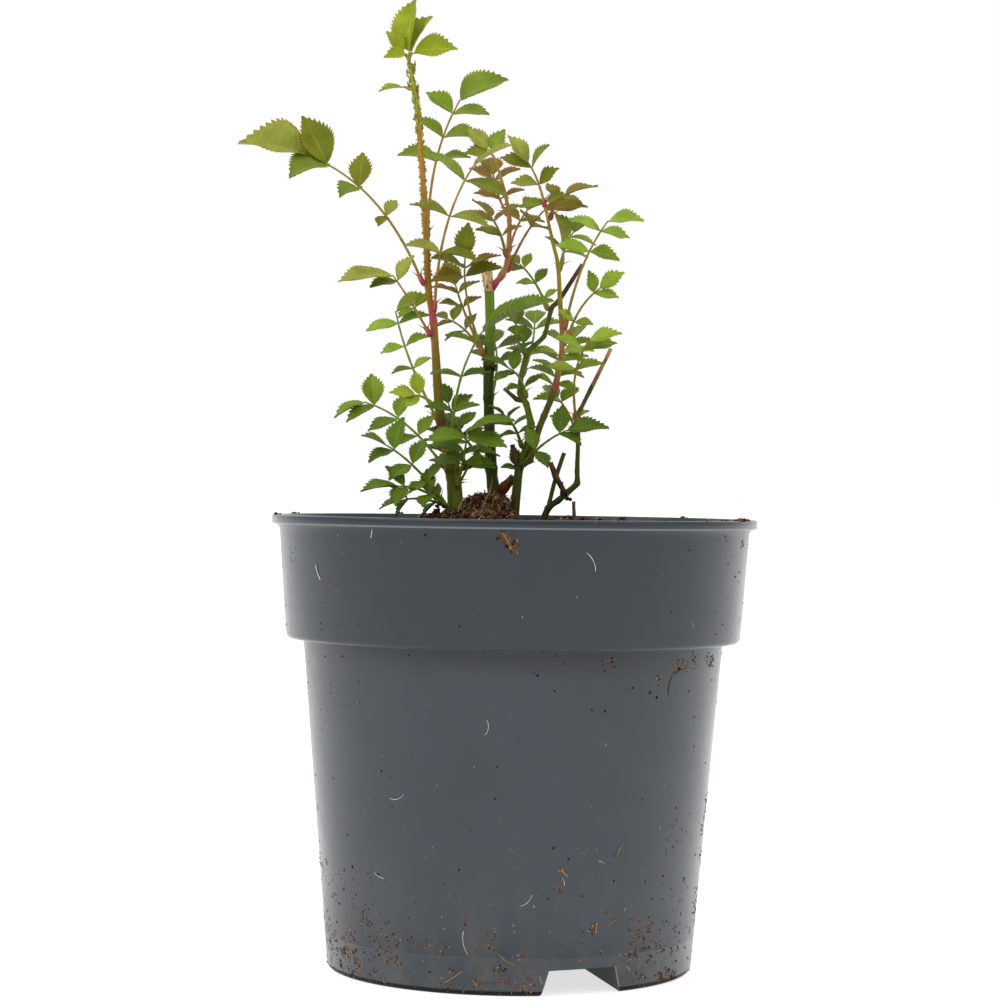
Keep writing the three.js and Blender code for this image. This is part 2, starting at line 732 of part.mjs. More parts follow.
function makeLimb(name) {
  const { foot, from, run, radii } = LIMBS[name];
  const start = foot
    ? new THREE.Vector3(foot[0], foot[1], foot[2] - SOIL.socket)
    : seat(onLimb(from[0], from[1]), heading(from[2] ?? 0, from[3] ?? 0), radii[0]);
  const points = [start];
  run.forEach(([length, lean, depth], i) => {
    const full = foot && i === 0 ? length + SOIL.socket : length;
    points.push(points[i].clone().addScaledVector(heading(lean, depth), full));
  });
  const sides = radii[0] > CANE.thinBelow ? CANE.sides : CANE.thinSides;
  limbs[name] = { points, radii, solid: taperedTube(points, radii, sides) };
  return limbs[name].solid;
}

// The hole that a planted limb stands in.
function socketOf(name) {
  const { points, radii } = limbs[name];
  const down = points[0].clone().sub(points[1]).normalize();
  const start = points[0].clone().addScaledVector(down, GAP);
  const wider = radii.slice(0, 3).map((radius) => radius + SOIL.clearance);
  return taperedTube([start, points[1], points[2]], wider, CANE.thinSides);
}

// ---- Leaves -------------------------------------------------------------------------------

function stalkPoints(start, leaf) {
  const points = [start];
  for (let i = 0; i < STALK.steps; i++) {
    const share = ((i + 0.5) / STALK.steps) ** BEND;
    const way = heading(mix(...leaf.lean, share), mix(...leaf.depth, share));
    points.push(points[i].clone().addScaledVector(way, leaf.reach / STALK.steps));
  }
  return points;
}

function alongStalk(points, share) {
  const place = Math.min(share * STALK.steps, STALK.steps - 1e-6);
  const i = Math.floor(place);
  return {
    point: points[i].clone().lerp(points[i + 1], place - i),
    along: points[i + 1].clone().sub(points[i]).normalize(),
  };
}

// One leaflet: a thin keeled blade in its own outline, its pointed root sunk in the stalk.
function makeLeaflet(root, way, sky, length) {
  const up = across(sky, way);
  const side = way.clone().cross(up);
  const half = length * LEAFLET.width;
  const place = (share, x, z) => root.clone()
    .addScaledVector(way, length * share)
    .addScaledVector(up, z - LEAFLET.droop * length * share * share)
    .addScaledVector(side, x);
  const points = [place(0, 0, 0).addScaledVector(way, -LEAFLET.sunk)];
  LEAFLET.shoulders.forEach(([share, wide]) => points.push(
    place(share, -half * wide, LEAFLET.thickness / 2),
    place(share, 0, -LEAFLET.thickness / 2),
    place(share, half * wide, LEAFLET.thickness / 2),
  ));
  points.push(place(1, 0, 0));
  const faces = [];
  for (let k = 0; k < 3; k++) {
    const [a, b] = [1 + k, 1 + ((k + 1) % 3)];
    faces.push([0, a, b], [a, b + 3, b], [a, a + 3, b + 3], [a + 3, 7, b + 3]);
  }
  return solidFrom(geometryFrom(points, faces));
}

function leafletsOf(leaf, points, random) {
  const made = [];
  const wing = heading(...leaf.wing);
  const blade = (at, way, length) => {
    const sky = heading(leaf.sky[0] + JITTER * random(), leaf.sky[1] + JITTER * random());
    made.push(makeLeaflet(at, way.normalize(), sky, length * (1 + LEAFLET.variety * random())));
  };
  for (let pair = 0; pair < leaf.pairs; pair++) {
    const share = leaf.pairs > 1 ? pair / (leaf.pairs - 1) : LEAFLET.lonePair;
    const { point, along } = alongStalk(points, mix(leaf.bare, LEAFLET.lastPair, share));
    const out = across(wing, along);
    for (const row of [1, -1]) {
      const spread = rad(mix(...leaf.spread, share) + JITTER * random());
      const way = along.clone().multiplyScalar(Math.cos(spread))
        .addScaledVector(out, row * Math.sin(spread))
        .addScaledVector(across(heading(...leaf.sky), along), LEAFLET.lift);
      blade(point, way, mix(...leaf.size, share));
    }
  }
  const end = alongStalk(points, 1);
  blade(end.point, leaf.end ? heading(...leaf.end) : end.along.clone(), leaf.tip);
  return made;
}

function touches(piece, others) {
  return others.some((other) => piece.minGap(other, 2 * GAP) < LEAST_GAP);
}

// A mass of foliage: its stalks from one seat, and every leaflet that stays clear of the rest.
function makeMass(name, seed, others) {
  const { on, leaves } = FOLIAGE[name];
  const random = seeded(seed);
  const place = onLimb(...on);
  const first = leaves[0];
  const start = seat(place, heading(first.lean[0], first.depth[0]), STALK.rootRadius);
  let mass = null;
  for (const leaf of leaves) {
    const points = stalkPoints(start, leaf);
    const radii = points.map((_, i) => mix(STALK.rootRadius, STALK.tipRadius, i / STALK.steps));
    const stalk = taperedTube(points, radii, STALK.sides);
    if (touches(stalk, others)) throw new Error(name + ": its stalk touches another piece");
    mass = mass ? mass.add(stalk) : stalk;
    for (const leaflet of leafletsOf(leaf, points, random))
      if (!touches(leaflet, others)) mass = mass.add(leaflet);
  }
  return mass.decompose().sort((a, b) => b.volume() - a.volume())[0];
}

// ---- The whole plant ----------------------------------------------------------------------

const SEED = 101;
const SEED_STEP = 17;
const rose = new THREE.Group();

function place(name, solid, colour, roughness = 0.6) {
  const material = new THREE.MeshStandardMaterial({ color: colour, roughness, metalness: 0 });
  const mesh = new THREE.Mesh(geometryOf(solid), material);
  mesh.name = name;
  rose.add(mesh);
  return solid;
}

const pot = place("pot", makePot(), 0x4d545c, 0.45);
const limbSolids = Object.keys(LIMBS).map((name) => place(name, makeLimb(name), LIMBS[name].colour));
const planted = Object.keys(LIMBS).filter((name) => LIMBS[name].foot);
const soil = place("soil", makeSoil(planted.map(socketOf)), 0x3b2a1e, 0.95);

const solids = [pot, soil, ...limbSolids];
Object.keys(FOLIAGE).forEach((name, i) => {
  const mass = makeMass(name, SEED + SEED_STEP * i, solids);
  solids.push(place(name, mass, LEAF_COLOURS[i % LEAF_COLOURS.length]));
});

export default rose;
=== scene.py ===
"""The looks of a young rose bush in its nursery pot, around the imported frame.

Tables are in millimetres and degrees; meshes are made in metres. A direction is a lean (degrees to
the right of upright) and a depth (degrees away from the front).
"""

import math

import bmesh
import bpy
from mathutils import Matrix, Vector, noise


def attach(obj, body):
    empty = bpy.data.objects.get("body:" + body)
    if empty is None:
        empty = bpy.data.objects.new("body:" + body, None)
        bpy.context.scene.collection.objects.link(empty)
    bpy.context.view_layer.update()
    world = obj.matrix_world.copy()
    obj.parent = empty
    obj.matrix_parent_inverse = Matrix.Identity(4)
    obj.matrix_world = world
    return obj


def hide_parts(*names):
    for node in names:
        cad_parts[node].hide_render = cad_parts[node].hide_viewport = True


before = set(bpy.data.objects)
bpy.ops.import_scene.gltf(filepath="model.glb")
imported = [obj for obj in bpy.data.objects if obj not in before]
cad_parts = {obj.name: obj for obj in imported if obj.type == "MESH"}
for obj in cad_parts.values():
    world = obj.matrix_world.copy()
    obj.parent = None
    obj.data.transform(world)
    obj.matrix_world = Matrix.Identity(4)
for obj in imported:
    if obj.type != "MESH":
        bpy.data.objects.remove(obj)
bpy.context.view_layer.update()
MM = 0.001
UP, DOWN, RIGHT = Vector((0, 0, 1)), Vector((0, 0, -1)), Vector((1, 0, 0))
# How far a limb stands clear of the one that carries it.
GAP = 0.3

# ---- Driving dimensions ------------------------------------------------------------------------

POT = dict(height=176.5, lip_radius=95.2, lip_height=3.6, lip_fillet=1.6, lip_edge=0.7,
           band_top=92.5, band_bottom=89.1, band_height=48, band_corner=2, body_top=82.3,
           foot=71.3, foot_corner=1.8, wall=1.5, mouth_flare=0.7, seam=14.2, seam_width=0.4,
           seam_height=0.16, lowest_ring=4, segments=192)
NOTCH = dict(count=3, azimuth=-68.3, height=10, top=11.8, foot=14.4, spread=0.2, inner=18,
             drain=4, drain_place=46, below=1, beyond=10)
SOIL = dict(level=168.5, mound=16.3, mound_x=-7.5, mound_y=-1, left=23, right=9, spread_y=22,
            steepness=1.3, lump_height=0.7, slow_lumps=0.6, lump_turns=(0.31, 0.27, 0.13, 0.19),
            socket=5, floor=150, rings=46, segments=120)

# Limbs: foot or (limb, place, lean, depth); internodes (length, lean, depth); radius at each joint.
LIMBS = {
    "cane_left": dict(
        foot=(-22.3, -6, 172), slot="young_bark",
        run=[(23, -5, 0), (20, -14, 0), (38, -5, 1), (14, -9, 2), (27.5, -3, 2), (27.5, -5, 1),
             (16, -5, 0), (17, -11, -2)],
        radii=[3.3, 2.9, 1.9, 1.45, 1.3, 1.2, 1, 0.9, 0.8],
        bark=[(168, 0x4A5208), (182, 0x5E6610), (196, 0x646012), (204, 0x8A5A30), (212, 0x5E3A22),
              (216, 0x5A5808), (238, 0x7A6410), (250, 0x92602A), (254, 0xB04058), (257, 0xA45A34),
              (262, 0x967026), (310, 0xA8722E), (332, 0xA07A28), (340, 0x8F8C26), (356, 0x96A034)]),
    "cane_middle": dict(
        foot=(-5.2, 4, 173), slot="green_bark",
        run=[(11, -9, 0), (12, -8, 0), (27.5, -3, 1), (14, 0, 0), (14, 1, 0), (14.5, -2, 0)],
        radii=[3, 2.7, 2.3, 2, 2.2, 1.9, 1.9],
        bark=[(168, 0x565E10), (184, 0x465410), (196, 0x2C3A04), (228, 0x2E3C05), (233, 0x34440A),
              (236, 0x2A1A0C), (239, 0x566E16), (264, 0x6C8A28)]),
    "stub_middle": dict(
        at=("cane_middle", "tip"), slot="dead_bark", cut=True,
        run=[(6, -9, 0), (8, -15, 0)],
        radii=[2, 1.9, 1.7],
        bark=[(264, 0x9A7A4A), (268, 0xDCC090), (277, 0xD0B080), (281, 0x8C6A44)]),
    "sprout_middle": dict(
        at=("cane_middle", 188, 90, -20), slot="dead_bark", cut=True,
        run=[(5, 45, -12)],
        radii=[1.9, 1.7],
        bark=[(186, 0x5A1E12), (191, 0x6A4A1C), (195, 0x55681C)]),
    "shoot_red": dict(
        at=("stub_middle", 268.6, 90, -25), slot="young_bark",
        run=[(3.5, 38, 0), (6, 20, 0), (16, 2, 2), (11, -10, 4), (13, -16, 6)],
        radii=[1.2, 1.35, 1, 0.9, 0.7, 0.5],
        bark=[(266, 0xA03048), (268.5, 0xB4405A), (271.5, 0xA8744A), (318, 0x9E7A34)]),
    "cane_zigzag": dict(
        foot=(-1, -4, 173), slot="green_bark", cut=True,
        run=[(23, 5, 0), (10, 22, 3), (8, 5, 3), (8, -14, 2), (5, -30, 0), (7, 3, 0), (9.5, 15, 0),
             (9, 45, 2), (11.5, 14, 2), (4, 45, 2), (17, 32, 0)],
        radii=[2, 1.7, 1.7, 1.4, 1.2, 1.2, 1, 1.1, 0.9, 0.9, 0.95, 0.8],
        bark=[(168, 0x343A08), (196, 0x444E0C), (206, 0x64761C), (235, 0x5A6A18), (262, 0x3E4614),
              (267, 0x3A3020), (280, 0x604A34)]),
    "stub_zigzag_low": dict(
        at=("cane_zigzag", 198, -90, -30), slot="dead_bark", cut=True,
        run=[(6, -12, 0)],
        radii=[1.1, 1],
        bark=[(190, 0x4A3A22), (205, 0x6A4A32)]),
    "stub_zigzag_high": dict(
        at=("cane_zigzag", 224, -90, 0), slot="dead_bark", cut=True,
        run=[(6.5, -50, 0)],
        radii=[0.9, 0.7],
        bark=[(222, 0x5A4A28), (230, 0x80604A)]),
    "cane_olive": dict(
        at=("cane_zigzag", 200, 90, -35), slot="young_bark",
        run=[(9, 14, -2), (9, 20, -2), (11, 22, -1)],
        radii=[1.4, 1.35, 1.25, 1.2],
        bark=[(198, 0x7A5A30), (206, 0x5A5A14), (222, 0x565010), (230, 0x526816)]),
    "shoot_olive": dict(
        at=("cane_olive", "tip"), slot="young_bark",
        run=[(6, 8, -4), (12, 7, -7), (16, -4, -5), (14, -4, 1), (10, -13, 4), (13.3, -13, 4)],
        radii=[1.2, 1.1, 1.05, 0.9, 0.8, 0.65, 0.5],
        bark=[(228, 0x9A3C40), (233, 0x84701C), (246, 0xA06A42), (258, 0x8E7A22), (300, 0x8E7E1E)]),
    "cane_right": dict(
        foot=(8.6, -2, 174), slot="green_bark",
        run=[(7, 22, 0), (5, 52, 0), (5.5, 48, 0), (4.5, 45, 0), (5, 0, 0), (12, 1, 0), (10, 0, 0)],
        radii=[1.5, 1.3, 1.2, 1.1, 1.2, 0.9, 0.85, 0.95],
        bark=[(170, 0x22280A), (182, 0x303A0C), (190, 0x3E5012), (212, 0x445A16), (217, 0x505A20)]),
    "stub_right": dict(
        at=("cane_right", "tip"), slot="dead_bark", cut=True,
        run=[(28.5, 26, 0)],
        radii=[0.85, 0.75],
        bark=[(216, 0x4A5A1A), (227, 0x54502A), (230, 0x8A6238), (243, 0xB08452)]),
    "stub_right_inner": dict(
        at=("cane_right", 181.5, 0, 35), slot="green_bark", cut=True,
        run=[(10, 14, 8), (10, 18, 0)],
        radii=[0.85, 0.85, 0.85],
        bark=[(180, 0x3A4E12), (202, 0x4A5C18)]),
    "stub_right_dead": dict(
        at=("cane_right", 186, -70, -35), slot="dead_bark", cut=True,
        run=[(6, -30, -8), (6, -22, 0)],
        radii=[1, 1.15, 1],
        bark=[(184, 0x4A3020), (198, 0x6A4A34)]),
    "stub_far": dict(
        foot=(24.5, 6, 171), slot="dead_bark", cut=True,
        run=[(6, -4, 0), (6, -3, 0)],
        radii=[0.8, 0.7, 0.7],
        bark=[(168, 0x5A4430), (184, 0x8A6A48)]),
}

# Tints of a spray, linear: upper face, underside, rim and ribs of the leaflets, stalk, and sheath
# at the stalk's foot.
TINTS = {
    "lime": ((0.27, 0.33, 0.012), (0.36, 0.40, 0.05), (0.30, 0.33, 0.015), (0.34, 0.39, 0.035),
             (0.30, 0.26, 0.02), (0.30, 0.28, 0.04)),
    "young": ((0.265, 0.29, 0.04), (0.40, 0.38, 0.12), (0.30, 0.25, 0.02), (0.32, 0.35, 0.05),
              (0.34, 0.20, 0.035), (0.40, 0.05, 0.08)),
    "bronze": ((0.20, 0.155, 0.008), (0.33, 0.20, 0.06), (0.26, 0.12, 0.02), (0.26, 0.20, 0.03),
               (0.27, 0.13, 0.03), (0.40, 0.06, 0.07)),
    "olive": ((0.16, 0.185, 0.008), (0.30, 0.24, 0.08), (0.22, 0.17, 0.012), (0.22, 0.23, 0.03),
              (0.23, 0.18, 0.02), (0.28, 0.10, 0.04)),
    "bright": ((0.235, 0.35, 0.025), (0.34, 0.44, 0.11), (0.25, 0.34, 0.02), (0.27, 0.39, 0.04),
               (0.29, 0.20, 0.03), (0.40, 0.12, 0.08)),
    "fresh": ((0.165, 0.25, 0.012), (0.30, 0.34, 0.09), (0.20, 0.26, 0.016), (0.23, 0.31, 0.04),
              (0.20, 0.25, 0.02), (0.24, 0.19, 0.04)),
    "warm": ((0.175, 0.25, 0.02), (0.32, 0.34, 0.10), (0.21, 0.25, 0.016), (0.24, 0.30, 0.04),
             (0.32, 0.18, 0.03), (0.40, 0.06, 0.08)),
    # The mid and dark tints go to leaves low in the bush, inside it and at its back. They are
    # deeper partly in their own green and partly as painted shade of the bush's inside.
    "mid": ((0.105, 0.175, 0.009), (0.24, 0.30, 0.08), (0.12, 0.18, 0.012), (0.155, 0.23, 0.03),
            (0.16, 0.22, 0.015), (0.17, 0.19, 0.03)),
    "dark": ((0.07, 0.12, 0.006), (0.15, 0.20, 0.05), (0.08, 0.13, 0.008), (0.10, 0.16, 0.018),
             (0.11, 0.17, 0.01), (0.13, 0.15, 0.02)),
}
# The tints that single leaflets of a spray take where they are paler and deeper than the rest.
NEIGHBOURS = {
    "lime": ("lime", "bright"), "young": ("warm", "olive"), "bronze": ("bronze", "olive"),
    "olive": ("olive", "bronze"), "bright": ("bright", "fresh"), "fresh": ("bright", "mid"),
    "warm": ("fresh", "warm"), "mid": ("mid", "dark"), "dark": ("mid", "dark")}
# How far a leaflet's luck, between -1 and 1, has to go for another tint.
OTHER_TINT = 0.5
# Leaflets folded sharper than the rest.
FOLDS = {"leaves_crown": 0.95, "leaf_crown_low": 0.7, "leaf_left_high": 0.7,
         "leaf_inner_high": 0.75}


def single(lean, depth, reach, length, way, sky):
    """A leaf with an end leaflet and no pairs."""
    return lean, depth, reach, 1, 0, (0, 0), length, way, (0, 0), (0, 0), sky


# Foliage: the limb and place it hangs on, its tint, and its compound leaves. A leaf's row: lean and
# depth of the stalk at start and end, reach, bare share, pairs, sizes of the first and last pair,
# end leaflet, its own direction or None, spread of the first and last pair, wing and sky.
FOLIAGE = {
    "leaves_crown": ("cane_left", "tip", "lime", [
        single((-6, 4), (-4, 2), 4, 20, (-1, 4), (-58, -44)),
        single((0, 20), (4, 12), 4, 18.5, (20, 10), (-50, -44)),
        single((0, 50), (-6, -14), 4, 16, (78, -14), (-20, -48)),
        single((-20, -60), (-5, -16), 4, 10, (-34, -10), (10, -55)),
        single((-12, -40), (-10, -60), 4, 9.5, (-98, -30), (0, -60))]),
    "leaf_crown_low": ("cane_left", 344, "lime", [
        single((-60, -95), (-10, -10), 2.5, 9, None, (0, -30))]),
    "leaf_left_high": ("cane_left", 267, "young", [
        ((-25, -72), (-16, -22), 69, 0.45, 3, (8, 21), 26, (-72, -14), (78, 38), (25, 38),
         (-10, -46))]),
    "leaf_inner_high": ("cane_left", 285, "warm", [
        ((1, 28), (30, 18), 67, 0.56, 3, (14, 15), 23, (56, 6), (80, 64), (90, -10), (0, -32))]),
    "leaf_inner_middle": ("cane_left", 256, "young", [
        ((3, 33), (-26, -20), 62, 0.4, 3, (14, 18), 19, (50, -30), (82, 72), (90, -15), (0, -26))]),
    "leaf_left_arch": ("cane_left", 247, "young", [
        ((-31, -38), (-32, -38), 32, 0.45, 2, (8, 12), 20, (-88, -26), (75, 60), (60, 20),
         (-14, -32))]),
    "leaf_left_long": ("cane_left", 214, "fresh", [
        ((-28, -12), (30, 24), 54, 0.5, 3, (8, 12), 16, (56, 10), (78, 82), (90, -10), (-5, -30))]),
    "leaf_left_yellow": ("cane_left", 221, "lime", [
        ((-55, -80), (-14, -18), 7, 0.8, 1, (9, 9), 10, None, (60, 60), (0, 20), (-5, -40))]),
    "leaf_left_low": ("cane_left", 196, "fresh", [
        ((-37, -74), (22, 18), 45, 0.4, 3, (10, 13), 14, (-108, -5), (75, 62), (40, 14),
         (-10, -30))]),
    "leaves_foot_left": ("cane_left", 181, "mid", [
        ((-36, -60), (-18, -24), 35, 0.35, 3, (10, 12), 11, None, (65, 60), (20, 10), (-10, -25)),
        ((-52, -92), (-35, -20), 23, 0.4, 2, (10, 11), 14, None, (60, 55), (0, 35), (-10, -25)),
        ((-70, -104), (-6, -6), 17, 0.25, 2, (8, 8), 9, None, (60, 50), (0, -20), (-10, -20))]),
    "leaves_foot_front": ("cane_left", 188, "mid", [
        ((14, 3), (-44, -22), 27, 0.45, 3, (12, 15), 19, (66, -20), (86, 84), (90, -10), (0, -28)),
        ((30, 24), (-30, -40), 16, 0.5, 1, (10, 10), 12, None, (60, 60), (90, 0), (0, -40))]),
    "leaf_middle_long": ("cane_left", 203, "mid", [
        ((2, 34), (-30, -30), 53, 0.3, 3, (11, 11), 29, (55, -18), (75, 85), (90, 15), (0, -20))]),
    "leaf_foot_back": ("cane_left", 187, "dark", [
        ((6, -12), (52, 40), 32, 0.35, 3, (10, 13), 14, None, (70, 60), (90, 0), (0, 20))]),
    "leaves_middle_shoot": ("cane_middle", 240, "olive", [
        ((-22, 4), (-22, -18), 41, 0.82, 2, (14, 15), 13, None, (70, 60), (90, 15), (0, -30)),
        ((-26, -16), (18, 22), 32, 0.7, 2, (9, 10), 12, None, (70, 60), (90, 20), (0, -20)),
        ((-30, -66), (34, 40), 26, 0.6, 2, (8, 8), 9, None, (70, 60), (30, 20), (0, -10))]),
    "leaf_red_top": ("shoot_red", "tip", "young", [
        ((-30, -40), (8, 5), 5, 0.6, 1, (11, 11), 12, None, (60, 60), (80, 10), (0, -50))]),
    "leaf_red_dark": ("shoot_red", 274, "bronze", [
        ((22, 42), (2, 6), 28, 0.6, 1, (9, 11), 18, (74, 4), (70, 60), (60, 30), (0, -30))]),
    "leaf_red_right": ("shoot_red", 281, "bronze", [
        ((14, 34), (54, 46), 33, 0.65, 1, (9, 10), 14, None, (70, 60), (90, 20), (0, -25))]),
    "leaf_red_left": ("shoot_red", 279, "olive", [
        ((-14, -40), (-42, -46), 21, 0.5, 2, (9, 12), 13, None, (65, 60), (80, -10), (0, -25))]),
    "leaf_red_back": ("shoot_red", 296, "bronze", [
        ((-24, -6), (56, 42), 30, 0.45, 2, (10, 11), 13, None, (65, 60), (90, 0), (0, 20))]),
    "leaf_olive_top": ("shoot_olive", "tip", "young", [
        ((-14, -34), (-8, -14), 18, 0.1, 3, (10, 12), 14, None, (75, 45), (90, -20), (0, -45))]),
    "leaf_olive_bronze": ("shoot_olive", 293, "bronze", [
        ((8, 66), (24, 28), 13.5, 0.6, 1, (8, 9), 15, None, (70, 55), (0, 40), (0, -20))]),
    "leaf_olive_blade": ("shoot_olive", 275, "olive", [
        single((8, -4), (6, 2), 5, 16, None, (90, -20))]),
    "leaf_right_high": ("shoot_olive", 250, "bright", [
        ((11, 36), (-28, -34), 50, 0.7, 2, (12, 12), 14, (80, -20), (82, 80), (75, -10),
         (-10, -34))]),
    "leaf_right_inner": ("shoot_olive", 273, "fresh", [
        ((10, 34), (40, 36), 22, 0.5, 2, (9, 10), 12, None, (75, 65), (90, 30), (0, -20))]),
    "leaf_right_bright": ("shoot_olive", 245, "bright", [
        ((16, 54), (-24, -20), 26, 0.35, 2, (7, 9), 11.5, None, (60, 45), (0, -20), (0, -45))]),
    "leaf_right_light": ("cane_right", 213, "bright", [
        ((-12, 32), (-36, -36), 40, 0.66, 2, (11, 12), 13, (66, -15), (75, 70), (90, 10),
         (0, -32))]),
    "leaf_right_level": ("cane_olive", 224, "bright", [
        ((16, 10), (18, 22), 19, 0.25, 3, (9, 11), 13, (76, 10), (80, 82), (90, 12), (0, -22))]),
    "leaf_right_back": ("cane_olive", 222, "fresh", [
        ((14, 30), (50, 44), 40, 0.4, 3, (10, 12), 14, None, (70, 60), (90, 0), (0, 15))]),
    "leaf_zigzag_high": ("cane_zigzag", 258, "fresh", [
        ((-20, -46), (32, 28), 25, 0.2, 3, (7, 7), 7, None, (70, 60), (0, 30), (0, -32))]),
    "leaf_zigzag_middle": ("cane_zigzag", 240, "mid", [
        ((-6, -44), (-38, -44), 17, 0.3, 2, (9, 10), 11, None, (65, 60), (0, 40), (0, -20))]),
    "leaf_zigzag_left": ("cane_zigzag", 223, "mid", [
        ((-12, -62), (-24, -20), 14, 0.3, 2, (8, 9), 10, None, (65, 60), (80, 20), (0, -25))]),
    "leaf_zigzag_low": ("cane_zigzag", 203, "dark", [
        ((-16, -52), (-24, -30), 16, 0.4, 3, (7, 7), 8, None, (75, 60), (80, -10), (0, -22))]),
    "leaf_right_low": ("cane_zigzag", 196.5, "dark", [
        ((38, 66), (-50, -10), 27, 0.42, 2, (10, 11), 15, (76, -8), (70, 50), (-20, 20),
         (0, -26))]),
    "leaf_sprout": ("sprout_middle", "tip", "mid", [
        ((38, -20), (-12, -20), 4, 0.9, 1, (7, 7), 9, None, (60, 60), (80, 0), (0, -40))]),
    "leaf_right_joint": ("cane_right", 210, "bright", [
        ((-18, -40), (42, 36), 20, 0.35, 2, (8, 10), 11, None, (65, 60), (80, 20), (0, -25))]),
    "leaf_middle_low": ("cane_middle", 199, "dark", [
        ((-42, -16), (10, 22), 27, 0.35, 3, (8, 10), 12, None, (70, 65), (90, 10), (0, -30))]),
    "leaf_middle_back": ("cane_middle", 222, "mid", [
        ((14, -12), (48, 50), 38, 0.4, 3, (9, 12), 14, None, (70, 65), (90, 0), (0, 25))]),
    "leaf_zigzag_back": ("cane_zigzag", 232, "fresh", [
        ((20, 2), (46, 52), 34, 0.4, 2, (9, 11), 13, None, (70, 65), (90, 0), (0, 25))]),
}
STALK = dict(root=0.62, tip=0.34, steps=7, sides=6)
# Leaves that reach further than this have a sheath at the stalk's foot.
SHEATHED = 10
LEAFLET = dict(width=0.33, droop=0.2, lift=0.3, last_pair=0.9, lone_pair=0.4, variety=0.08,
               thickness=0.2, tooth=1.75, depth=0.12, slant=0.55, fold=0.42, fold_varies=0.4,
               quilt=0.014, roll=0.14, ripple=0.02, rib=2.2)
# Places across a leaflet, from edge to edge: rim, blade and the midrib between them.
COLUMNS = (-1, -0.88, -0.5, -0.06, 0.06, 0.5, 0.88, 1)
# How late a stalk bends, and how many degrees a leaflet may turn from its place.
BEND = 1.6
JITTER = 7
# The random numbers of each mass, as the frame's solids draw them.
SEED = 101
SEED_STEP = 17

# Limbs whose leaflets make the left piece.
LEFT_LIMBS = {"cane_left", "cane_middle"}
# How smoothly the angular limbs bend at their joints; the others bend fully (1).
ANGULAR = dict.fromkeys(("cane_zigzag", "cane_right", "stub_right_dead", "stub_zigzag_high"), 0.45)
# A joint's swelling, as a share of the radius, and how far it spreads along the limb.
SWELLING = 0.16
SWELLING_REACH = 0.9
# Limbs thicker than this get more sides.
THICK = 1.6

# Prickles: the limb, from and to a height, how many, length, colour.
PRICKLES = [
    ("cane_left", 192, 214, 10, 1.3, 0x8A4A30), ("cane_left", 214, 262, 26, 1.2, 0x93452F),
    ("cane_left", 262, 338, 70, 1.25, 0x8A8A38), ("cane_left", 338, 354, 8, 1.9, 0x70782E),
    ("shoot_red", 268, 312, 14, 1.0, 0xA05A40), ("cane_olive", 202, 226, 10, 0.9, 0x7A7038),
    ("shoot_olive", 232, 300, 16, 0.9, 0x9A7A3C), ("cane_right", 176, 200, 10, 0.9, 0x4A4424),
    ("cane_zigzag", 180, 262, 12, 0.7, 0x54502A)]
# Knobs on old joints: height, how far they spread up and down, how many, size.
KNOBS = {"cane_middle": (236.5, 2.4, 16, 1.0), "stub_right_dead": (187, 3.5, 12, 0.9),
         "cane_zigzag": (206.5, 1.6, 6, 0.7), "stub_middle": (268.5, 1.4, 8, 0.8)}
# Scales that hug the cane: from and to a height, how many, length and how far it varies.
BRACTS = [(322, 352.5, 30, 3, 1.2), (270, 322, 80, 1.5, 0.5)]
# Larger loose scales: height and turn.
SCALES = [(350.5, 0.1), (340.5, 0.2), (343, 2.9), (331, 3.2)]


# ---- Small helpers -----------------------------------------------------------------------------

def mix(a, b, share):
    return a + (b - a) * share


def heading(lean, depth):
    a, d = math.radians(lean), math.radians(depth)
    return Vector((math.sin(a) * math.cos(d), math.sin(d), math.cos(a) * math.cos(d)))


def seeded(seed):
    """The same numbers on every run, between -1 and 1."""
    state = seed & 0xFFFFFFFF

    def draw():
        nonlocal state
        state = (state * 1664525 + 1013904223) & 0xFFFFFFFF
        return state / 4294967296 * 2 - 1
    return draw


def pick(draw, kinds):
    """One of several kinds; a kind named twice comes up twice as often."""
    return kinds[int(abs(draw()) * (len(kinds) - 0.01))]


def across(vector, axis):
    return (vector - axis * vector.dot(axis)).normalized()


def level(turn):
    """The horizontal direction at a turn round the pot's axis."""
    return Vector((math.cos(turn), math.sin(turn), 0))


def band_of(low, high, sides):
    """The faces between two rings of points, given by their first points."""
    rim = [(k, (k + 1) % sides) for k in range(sides)]
    return [[low + k, low + n, high + n, high + k] for k, n in rim]


def fan_of(low, sides, tip):
    """The faces between a ring of points and a tip."""
    return [[low + k, low + (k + 1) % sides, tip] for k in range(sides)]


def flipped(faces):
    """Quads turned inside out, each from the same first point."""
    return [[a, d, c, b] for a, b, c, d in faces]


def linked(name, data):
    """A new object in the scene."""
    thing = bpy.data.objects.new(name, data)
    bpy.context.scene.collection.objects.link(thing)
    return thing


def linear(code):
    """A hex colour as linear RGBA."""
    parts = [(code >> shift & 255) / 255 for shift in (16, 8, 0)]
    return (*[c / 12.92 if c <= 0.04045 else ((c + 0.055) / 1.055) ** 2.4 for c in parts], 1)


class Pile:
    """Many small shapes, in millimetres, gathered into one mesh."""

    def __init__(self):
        self.points, self.faces, self.kinds = [], [], []

    def add(self, points, faces, kind=0):
        base = len(self.points)
        self.points += points
        self.faces += [[base + i for i in face] for face in faces]
        self.kinds += [kind] * len(faces) if isinstance(kind, int) else kind

    def mesh(self, name):
        mesh = bpy.data.meshes.new(name)
        mesh.from_pydata([p * MM for p in self.points], [], self.faces)
        return mesh

    def made(self, name, materials, slot, nodes=(), smooth=True, sharp=None):
        mesh = self.mesh(name)
        for material in materials:
            mesh.materials.append(material)
        mesh.polygons.foreach_set("material_index", self.kinds)
        mesh.polygons.foreach_set("use_smooth", [smooth] * len(self.faces))
        mesh.update()
        return settled(mesh, name, nodes, sharp)


